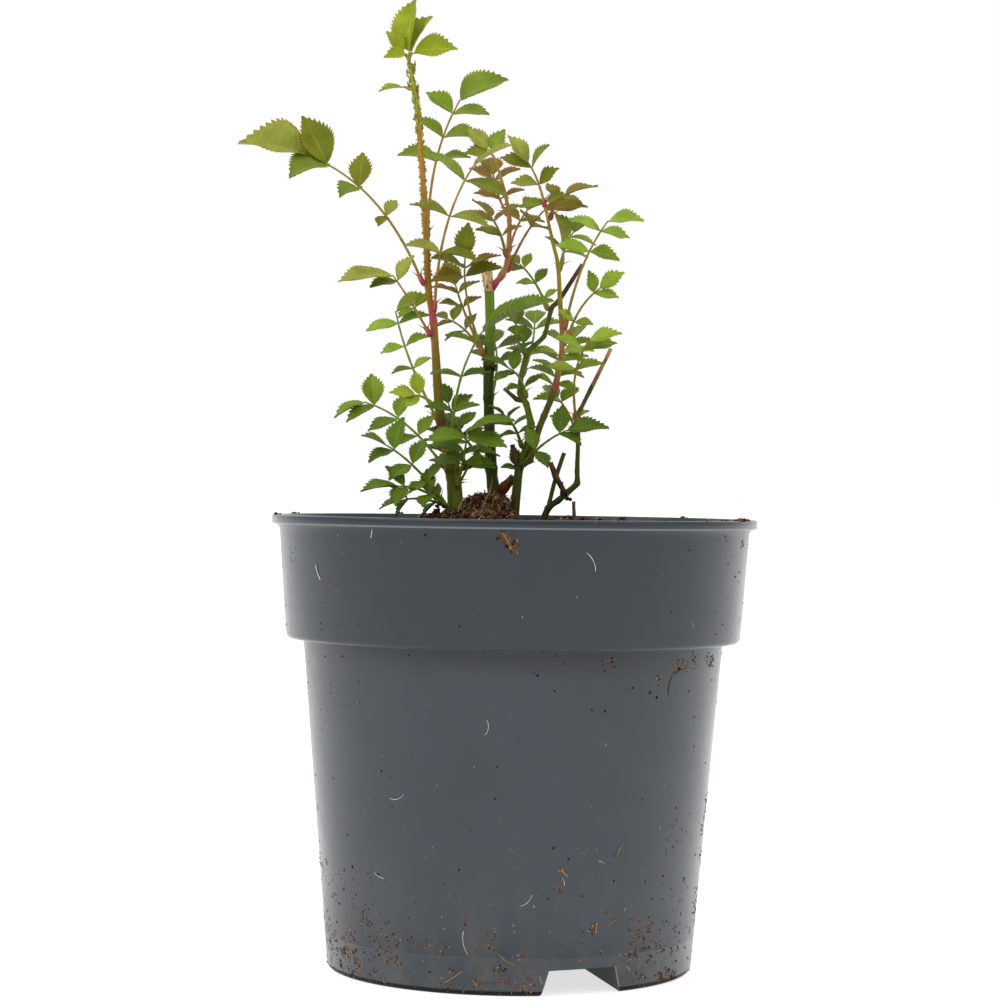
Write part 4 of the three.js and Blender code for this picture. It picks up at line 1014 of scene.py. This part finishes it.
def make_dirt(bits, hairs):
    """Crumbs and fibres on the pot's wall and lip."""
    draw = seeded(23)
    crumbs, fibres = Pile(), Pile()
    for azimuth, height, spread, count, size in CLUSTERS:
        degrees = math.degrees(spread / body_radius(height))
        for _ in range(count):
            across_by, up_by = (1.3 * draw() * abs(draw()) ** 0.5 for _ in range(2))
            speck(crumbs, azimuth + degrees * across_by, height + spread * up_by,
                  size * (0.35 + 0.5 * abs(draw())), pick(draw, (0, 1, 1, 2)), draw)
    for i in range(many("specks")):
        low = i % 5 < 3
        height = 1 + 42 * abs(draw()) ** 1.7 if low else 3 + 170 * abs(draw())
        if i % 4:
            azimuth = 180 * draw()
        else:
            azimuth = -28 - 24 * abs(draw()) ** 2 if i % 8 else -152 + 20 * abs(draw())
        speck(crumbs, azimuth, height, 0.12 + 0.42 * abs(draw()) ** 2.5,
              int(abs(draw()) * 3.2) % 3, draw)
    for azimuth, height, lean, length, radius, bend, kind in WALL_FIBRES:
        curl(fibres, azimuth, height, radius, math.radians(lean), length, radius, bend, kind, draw)
    for i in range(many("wall_hairs")):
        height = 2 + 60 * abs(draw()) ** 1.5 if i % 3 else 4 + 165 * abs(draw())
        if LEDGE - 8 < height < LEDGE + 4 or height > POT["height"] - 9:
            continue
        curl(fibres, 180 * draw(), height, 0.1, math.pi * draw(), 1.2 + 2.4 * abs(draw()),
             0.05 + 0.07 * abs(draw()), 1.5 * draw(), pick(draw, (0, 1, 2)), draw)
    for azimuth, count, size, tall in ON_LIP:
        for _ in range(count):
            turn = math.radians(azimuth + 0.9 * draw())
            radius = POT["lip_radius"] - 1.7 + 1.2 * draw()
            lump(crumbs, level(turn) * radius + UP * (POT["height"] + 0.25),
                 size * (0.4 + 0.6 * abs(draw())), draw, int(abs(draw()) * 2.2), FLAT)
        if tall:
            foot = level(math.radians(azimuth)) * (POT["lip_radius"] - 1.5)
            hair(fibres, foot + UP * POT["height"], heading(-4, 0), RIGHT, tall, 0.11, 0.3, draw, 2)
    for i in range(many("wall_heaps")):
        azimuth = [middle + reach * draw() for middle, reach in HEAPS][i % 4]
        middle = 1.5 + 30 * abs(draw()) ** 1.5
        for _ in range(4 + int(14 * abs(draw()))):
            speck(crumbs, azimuth + 1.3 * draw(), middle + 1.6 * draw(),
                  0.16 + 0.3 * abs(draw()) ** 1.5, pick(draw, (0, 1, 1, 2)), draw)
    crumbs.made("wall_crumbs", bits, "potting_soil", smooth=False)
    fibres.made("wall_fibres", hairs, "potting_soil")


def curl(pile, azimuth, height, out, lean, length, radius, bend, kind, draw, steps=8):
    """A fibre that lies on the pot's wall and curls as it goes."""
    spot, away = on_wall(azimuth, height, out)
    points, here, reach = [spot], spot, math.hypot(spot.x, spot.y)
    way = Vector((-away.y, away.x, 0)) * math.sin(lean) + UP * math.cos(lean)
    for _ in range(steps):
        way = Matrix.Rotation(bend / steps * (1 + 0.4 * draw()), 3, away) @ way
        here = here + way * (length / steps)
        flat = Vector((here.x, here.y, 0)).normalized() * (reach + (here.z - spot.z) * WALL_SLOPE)
        here = Vector((flat.x, flat.y, max(here.z, radius)))
        points.append(here)
    tube(pile, points, [radius] * (steps + 1), 4, kind)


# Where small heaps of specks gather: azimuth and how far they spread.
HEAPS = [(-46, 18), (-138, 18), (-90, 70), (90, 90)]
# How far the wall leans out as it rises.
WALL_SLOPE = 0.085


# ---- Canes, shoots and stubs -------------------------------------------------------------------

limbs = {}


def on_limb(name, where):
    points, radii = limbs[name]
    last = len(points) - 1
    if where == "tip":
        return points[last], (points[last] - points[last - 1]).normalized(), radii[last], True
    i = next(k for k in range(last) if points[k + 1].z >= where)
    share = (where - points[i].z) / (points[i + 1].z - points[i].z)
    along = (points[i + 1] - points[i]).normalized()
    return points[i].lerp(points[i + 1], share), along, mix(radii[i], radii[i + 1], share), False


def seat(place, way, radius, seat_share=0.3):
    point, along, limb_radius, tip = place
    if tip:
        return point + along * (GAP + seat_share * radius)
    return point + across(way, along) * (limb_radius + radius + GAP)


def lay_out(name):
    """The joints of a limb, worked out as the frame's solids are."""
    limb = LIMBS[name]
    if "foot" in limb:
        x, y, z = limb["foot"]
        start = Vector((x, y, z - SOIL["socket"]))
    else:
        carrier, where, lean, depth = (*limb["at"], 0, 0)[:4]
        start = seat(on_limb(carrier, where), heading(lean, depth), limb["radii"][0])
    points = [start]
    for i, (length, lean, depth) in enumerate(limb["run"]):
        full = length + SOIL["socket"] if "foot" in limb and i == 0 else length
        points.append(points[-1] + heading(lean, depth) * full)
    limbs[name] = (points, limb["radii"])


def curved(points, radii, step, ease=1.0):
    """A curve through the joints with a swelling at each; a low ease leaves them angular."""
    ends = [points[0] * 2 - points[1]] + points + [points[-1] * 2 - points[-2]]
    made, wide = [], []
    for i in range(len(points) - 1):
        a, b, c, d = ends[i:i + 4]
        count = max(2, round((c - b).length / step))
        for k in range(count):
            t = k / count
            smooth = 0.5 * (2 * b + (c - a) * t + (2 * a - 5 * b + 4 * c - d) * t * t
                            + (3 * b - a - 3 * c + d) * t ** 3)
            made.append(b.lerp(c, t).lerp(smooth, ease))
            near = min(t, 1 - t) * (c - b).length
            joint = 0 < i + round(t) < len(points) - 1
            swelling = SWELLING * math.exp(-(near / SWELLING_REACH) ** 2) if joint else 0
            wide.append(mix(radii[i], radii[i + 1], t * t * (3 - 2 * t)) * (1 + swelling))
    return made + [points[-1]], wide + [radii[-1]]


def make_limbs():
    pith = tinted("cut_wood", 0xB89A6C, 0.8, 0.25, 900, 0.2, 0.6)
    for name in LIMBS:
        lay_out(name)
    for i, (name, limb) in enumerate(LIMBS.items()):
        points, radii = limbs[name]
        dead = limb["slot"] == "dead_bark"
        path, wide = curved(points, radii, 0.8, ANGULAR.get(name, 1.0))
        if "at" in limb:
            spot, along, radius, tip = on_limb(*limb["at"][:2])
            root = spot - along * 0.3 if tip else spot.lerp(path[0], 0.3) - along * radius * 1.3
            path = [root] + path
            wide = [wide[0] * 1.05] + wide
            if not tip:
                wide[1] *= 1.15
        pile = Pile()
        sides = 28 if max(radii) > THICK else 16
        cut = 1 if "cut" in limb else None
        tube(pile, path, wide, sides, 0, BARK[dead]["relief"], i * 3.7, cut)
        if name in KNOBS:
            knobs(pile, name, *KNOBS[name], i)
        materials = [bark_surface(name, limb["bark"], dead), pith]
        pile.made("bark_" + name, materials, limb["slot"], [name], sharp=50)


def make_prickles():
    """The prickles of all limbs, and the scales on the tallest cane."""
    draw = seeded(61)
    tips, materials = Pile(), []
    for name, low, high, count, length, code in PRICKLES:
        materials.append(tinted(f"prickle_{name}_{low}", code, 0.5, 0.2, 500))
        for k in range(count):
            height = low + (high - low) * (k + 0.5 + 0.45 * draw()) / count
            prickle(tips, name, height, math.pi * draw(), length * (0.6 + 0.4 * abs(draw())),
                    len(materials) - 1)
    materials += [tinted("bract_green", 0x94A038, 0.5, 0.25, 500, 0.12),
                  tinted("bract_brown", 0x8A6A3C, 0.6, 0.25, 500, 0.12)]
    for low, high, count, length, vary in BRACTS:
        for k in range(count):
            height = mix(low, high, (k + 0.5 + 0.4 * draw()) / count)
            bract(tips, "cane_left", height, math.pi * (k % 2) + 0.9 * draw(),
                  length + vary * draw(), draw, len(materials) - 1 - (k % 4 > 0))
    for height, turn in SCALES:
        bract(tips, "cane_left", height, turn, 5, draw, len(materials) - 1)
    tips.made("prickles", materials, "young_bark")


def knobs(pile, limb, height, spread, count, size, seed):
    """Rough knobs round an old joint or a torn bud."""
    draw = seeded(300 + seed)
    for _ in range(count):
        point, _, radius, _ = on_limb(limb, height + spread * draw())
        side = level(-math.pi / 2 + math.pi * draw())
        lump(pile, point + side * radius * 1.02, size * (0.7 + 0.5 * abs(draw())), draw)


def bract(pile, limb, height, turn, length, draw, kind):
    """A small pointed scale that hugs the cane and points up."""
    point, along, radius, _ = on_limb(limb, height)
    side = across(level(turn), along)
    other = along.cross(side) * (0.2 * length)
    base = point + side * radius * 0.7
    way = (along + side * (0.25 + 0.22 * draw())).normalized() * length
    points = []
    for share, wide, out in ((0, 0.9, 0.55), (0.45, 1.0, 0.95)):
        spot = base + way * share
        points += [spot + other * wide, spot - other * wide, spot + side * out]
    points.append(base + way)
    pile.add(points, band_of(0, 3, 3) + fan_of(3, 3, 6) + [[2, 1, 0]], kind)


def prickle(pile, limb, height, turn, length, kind):
    """A small hooked prickle that points away from the cane and a little down."""
    point, along, radius, _ = on_limb(limb, height)
    side = across(level(turn), along)
    way = (side - along * 0.35).normalized()
    base = point + side * radius * 0.8
    wide, deep = length * 0.3, length * 0.5
    other = along.cross(side)
    ring = [base + along * deep, base + other * wide, base - along * deep, base - other * wide]
    middle = [base + side * length * 0.45 + (p - base) * 0.42 for p in ring]
    tip = base + side * length * 0.45 + way * length * 0.75
    pile.add(ring + middle + [tip], band_of(0, 4, 4) + fan_of(4, 4, 8) + [[3, 2, 1, 0]], kind)


# ---- Leaves ------------------------------------------------------------------------------------

def stalk_points(start, leaf):
    lean, depth, reach = leaf[:3]
    points = [start]
    for i in range(STALK["steps"]):
        share = ((i + 0.5) / STALK["steps"]) ** BEND
        way = heading(mix(*lean, share), mix(*depth, share))
        points.append(points[-1] + way * (reach / STALK["steps"]))
    return points


def along_stalk(points, share):
    place = min(share * STALK["steps"], STALK["steps"] - 1e-6)
    i = int(place)
    return points[i].lerp(points[i + 1], place - i), (points[i + 1] - points[i]).normalized()


def outline(share):
    """Half the width of a leaflet at a place along it, as a share of its widest."""
    widest = 0.38
    if share < widest:
        return math.sqrt(max(0, 1 - (1 - share / widest) ** 2)) * 0.97 + 0.03
    return max(0.0, 1 - ((share - widest) / (1 - widest)) ** 1.7)


def leaflet(pile, root, way, sky, length, tint, fold, draw):
    """A toothed blade with a folded midrib, sunken veins, a drooping tip and a real thickness."""
    up = across(sky, way)
    side = way.cross(up)
    half = length * LEAFLET["width"]
    teeth = max(6, min(12, round(length / LEAFLET["tooth"])))
    pitch = 1 / (teeth + 0.35)
    fold *= 1 + LEAFLET["fold_varies"] * draw()
    roll, wave = LEAFLET["roll"] * draw(), draw() * math.pi
    rows = [(0.0, 0.0, 0.0)]
    for k in range(teeth):
        start = (k + 0.25) * pitch
        rows += [(start, -1.0, 1.0), (start + 0.09 * pitch, -0.9, 0.8),
                 (start + 0.86 * pitch, 1.0, -1.0)]
    rows.append((1.0, 0.0, 0.0))
    top, under = [], []
    for share, jag, vein in rows:
        wide = half * outline(share)
        jag *= math.sqrt(length) * LEAFLET["depth"] * min(1, 0.35 + 1.2 * wide / half)
        for t in COLUMNS:
            across_it = abs(t)
            edge = across_it == 1 and 0 < share < 1
            reach = max(wide * across_it + (jag if edge else 0), 0.1 * across_it)
            z = fold * reach * (1 - 0.4 * reach / half) + roll * reach * (1 if t > 0 else -1)
            z -= LEAFLET["quilt"] * length * vein * {0.5: 1.0, 0.88: 0.5}.get(across_it, 0.0)
            z += LEAFLET["ripple"] * length * math.sin(share * 8 + wave + t * 2) * across_it
            z -= LEAFLET["droop"] * length * share * share
            forward = length * share + LEAFLET["slant"] * reach * (1 - share)
            forward += max(jag, 0) if edge else 0
            spot = root + way * forward + side * math.copysign(reach, t) + up * z
            top.append(spot)
            thick = LEAFLET["thickness"] * (LEAFLET["rib"] if across_it < 0.1 else 1)
            under.append(spot - up * thick)
    wide, count = len(COLUMNS), len(rows)
    shift = count * wide
    faces, kinds = [], []
    upper_kind, under_kind, rim_kind, rib_kind = (tint * 4 + k for k in range(4))
    for r in range(count - 1):
        ribbed = rows[r][1] == -1
        for c in range(wide - 1):
            a = r * wide + c
            faces.append([a, a + 1, a + 1 + wide, a + wide])
            faces.append([a + shift, a + wide + shift, a + 1 + wide + shift, a + 1 + shift])
            if c == wide // 2 - 1 or ribbed:
                kinds += [rib_kind, rib_kind]
            else:
                kinds += [rim_kind if c in (0, wide - 2) else upper_kind, under_kind]
        for a, b in ((r * wide, (r + 1) * wide), ((r + 2) * wide - 1, (r + 1) * wide - 1)):
            faces.append([a, b, b + shift, a + shift])
            kinds.append(rim_kind)
    for r, order in ((0, 1), (count - 1, -1)):
        rim = [r * wide + c for c in range(wide)]
        faces.append((rim[::-1] + [i + shift for i in rim])[::-order])
        kinds.append(rim_kind)
    pile.add(top + under, faces, kinds)


def sheath(pile, points, side, share, kind, draw):
    """The two narrow wings that clasp a stalk's foot, each ending in a loose spike."""
    for row in (1, -1):
        path, radii = [], []
        for part, out, radius in ((0, 0.2, 0.75), (0.3, 0.4, 0.8), (0.6, 0.5, 0.62),
                                  (0.8, 0.8, 0.34), (1, 1.7 + 0.4 * draw(), 0.17),
                                  (1.25, 3.1 + draw(), 0.03)):
            at, _ = along_stalk(points, share * part)
            path.append(at + side * (row * out))
            radii.append(radius)
        tube(pile, path, radii, 6, kind)


def make_foliage():
    stalks, sheaths = Pile(), Pile()
    halves = {"leaflets_left": Pile(), "leaflets_right": Pile()}
    masses = {half: [] for half in halves}
    names = list(TINTS)
    for i, (name, (limb, where, tint_name, leaves)) in enumerate(FOLIAGE.items()):
        draw = seeded(SEED + SEED_STEP * i)
        other = seeded(900 + i)
        tint = names.index(tint_name)
        half = "leaflets_left" if limb in LEFT_LIMBS else "leaflets_right"
        masses[half].append(name)
        place = on_limb(limb, where)
        start = seat(place, heading(leaves[0][0][0], leaves[0][1][0]), 0.75)
        for leaf in leaves:
            points = stalk_points(start, leaf)
            path = [place[0] - place[1] * (0.5 if place[3] else 0)] + points
            radii = [mix(STALK["root"], STALK["tip"], k / STALK["steps"])
                     for k in range(len(points))]
            fine, wide = curved(path, [radii[0] * 1.15] + radii, 1.4)
            tube(stalks, fine, wide, STALK["sides"], tint)
            if leaf[2] > SHEATHED:
                way = (points[1] - points[0]).normalized()
                share = min(5.5, 2 + leaf[2] * 0.1) / leaf[2]
                sheath(sheaths, points, across(heading(90, -20), way), share, tint, other)
            fold = FOLDS.get(name, LEAFLET["fold"])
            hang(halves[half], stalks, points, leaf, draw, other, tint, fold)
    leaf_materials, stalk_materials, sheath_materials = [], [], []
    for name, (upper, under, rim, rib, stalk, foot) in TINTS.items():
        leaf_materials += [tinted("leaf_" + name, upper, 0.45, 0.2, 150, 0.12, 0.35),
                           tinted("leaf_under_" + name, under, 0.65, 0.12, 150, 0.06, 0.35),
                           tinted("leaf_rim_" + name, rim, 0.55, 0.2, 150, 0.1, 0.3),
                           tinted("leaf_rib_" + name, rib, 0.5, 0.12, 150, 0.12, 0.2)]
        stalk_materials.append(tinted("stalk_" + name, stalk, 0.5, 0.2, 260, 0.12))
        sheath_materials.append(tinted("sheath_" + name, foot, 0.5, 0.2, 260, 0.12))
    for half, blades in halves.items():
        blades.made(half, leaf_materials, "foliage", masses[half])
    stalks.made("leaf_stalks", stalk_materials, "foliage")
    sheaths.made("leaf_sheaths", sheath_materials, "foliage")


def hang(blades, stalks, points, leaf, draw, other, tint, fold):
    """The leaflets of one compound leaf, in the order in which the frame's solids were drawn."""
    bare, pairs, size, tip, end_way, spread, wing, sky = leaf[3:]
    row_way, names = heading(*wing), list(TINTS)

    def blade(at, way, length, luck=0):
        face = heading(sky[0] + JITTER * draw(), sky[1] + JITTER * draw())
        grown = length * (1 + LEAFLET["variety"] * draw())
        way = way.normalized()
        paler, deeper = NEIGHBOURS[names[tint]]
        own = paler if luck > OTHER_TINT else deeper if luck < -OTHER_TINT else names[tint]
        leaflet(blades, at + way * 0.5, way, face, grown, names.index(own), fold, other)
        tube(stalks, [at - way * 0.2, at + way * 0.7], [0.3, 0.24], 5, tint)
    for pair in range(pairs):
        share = pair / (pairs - 1) if pairs > 1 else LEAFLET["lone_pair"]
        at, along = along_stalk(points, mix(bare, LEAFLET["last_pair"], share))
        out = across(row_way, along)
        for row in (1, -1):
            angle = math.radians(mix(*spread, share) + JITTER * draw())
            way = along * math.cos(angle) + out * (row * math.sin(angle)) \
                + across(heading(*sky), along) * LEAFLET["lift"]
            blade(at, way, mix(*size, share), math.sin(at.x * 3.1 + at.z * 5.7 + row))
    at, along = along_stalk(points, 1)
    blade(at, heading(*end_way) if end_way else along.copy(), tip)


# ---- Stage -------------------------------------------------------------------------------------

# The studio's brightness from the front (0) to the back (1).
STUDIO = [(0, 0.56), (0.35, 0.7), (0.78, 0.74), (0.86, 1.0)]
# Lamps in metres: name, kind, power, angle or size, place and what it looks at.
LAMPS = [("overhead", "SUN", 1.6, math.radians(100), (-0.3, -0.5, 1.2), (0, 0, 0)),
         ("left_box", "AREA", 1.6, 0.9, (-0.9, -0.7, 0.8), (0, 0, 0.22)),
         ("right_box", "AREA", 0.8, 0.6, (0.9, -0.5, 0.6), (0, 0, 0.15))]
FLOOR_SIZE = 40


def make_stage():
    mesh = bpy.data.meshes.new("floor")
    corners = [(x * FLOOR_SIZE, y * FLOOR_SIZE, 0) for x, y in ((-1, -1), (1, -1), (1, 1), (-1, 1))]
    mesh.from_pydata(corners, [], [[0, 1, 2, 3]])
    floor = linked("floor", mesh)
    surface = Surface("floor_paper", 0.9, 0.1, Emission_Color=(1, 1, 1, 1), Emission_Strength=0.7)
    surface.colour(surface.blend(surface.noise(8), (0.46, 0.46, 0.46, 1), (0.5, 0.5, 0.5, 1)))
    mesh.materials.append(surface.material)

    world = bpy.data.worlds.new("studio")
    bpy.context.scene.world = world
    world.use_nodes = True
    nodes, links = world.node_tree.nodes, world.node_tree.links
    where, split, share, fade = (nodes.new("ShaderNode" + kind) for kind in
                                 ("TexCoord", "SeparateXYZ", "MapRange", "ValToRGB"))
    share.inputs["From Min"].default_value = -1
    fill_ramp(fade.color_ramp, [(place, (strength,) * 3 + (1,)) for place, strength in STUDIO])
    back = nodes["Background"]
    back.inputs["Color"].default_value = (1, 1, 1, 1)
    for a, b in ((where.outputs["Generated"], split.inputs["Vector"]),
                 (split.outputs["Y"], share.inputs["Value"]),
                 (share.outputs["Result"], fade.inputs["Fac"]),
                 (fade.outputs["Color"], back.inputs["Strength"])):
        links.new(a, b)

    for name, kind, power, size, spot, aim in LAMPS:
        light = bpy.data.lights.new(name, kind)
        light.energy = power
        setattr(light, "angle" if kind == "SUN" else "size", size)
        lamp = linked(name, light)
        lamp.location = spot
        lamp.rotation_euler = (Vector(aim) - Vector(spot)).to_track_quat("-Z", "Y").to_euler()


# The camera fitted to the photo: place in mm, turns in radians, focal length in sensor widths.
CAMERA = dict(place=(-24.12, -1140.51, 188.61), pitch=0.00481, yaw=0.01603, roll=0.01329,
              focal=2.89819, sensor=36, far=100)


def make_camera():
    """Looks at the plant from the front, a little above the rim, with a long lens."""
    pitch, yaw, roll = CAMERA["pitch"], CAMERA["yaw"], CAMERA["roll"]
    forward = Vector((math.sin(yaw) * math.cos(pitch), math.cos(yaw) * math.cos(pitch),
                      -math.sin(pitch)))
    flat = Vector((math.cos(yaw), -math.sin(yaw), 0))
    above = flat.cross(forward)
    right = flat * math.cos(roll) + above * math.sin(roll)
    up = above * math.cos(roll) - flat * math.sin(roll)
    data = bpy.data.cameras.new("camera")
    data.sensor_width, data.lens = CAMERA["sensor"], CAMERA["focal"] * CAMERA["sensor"]
    data.clip_end = CAMERA["far"]
    camera = linked("camera", data)
    turn = Matrix((right, up, -forward)).transposed().to_4x4()
    camera.matrix_world = Matrix.Translation(Vector(CAMERA["place"]) * MM) @ turn
    bpy.context.scene.camera = camera
    bpy.context.scene.view_settings.view_transform = "Standard"


make_camera()
make_stage()
make_pot()
make_soil()
bits, hairs = ([tinted(*row) for row in rows] for rows in (CRUMBS, FIBRES))
make_litter(bits, hairs)
make_dirt(bits, hairs)
make_limbs()
make_prickles()
make_foliage()
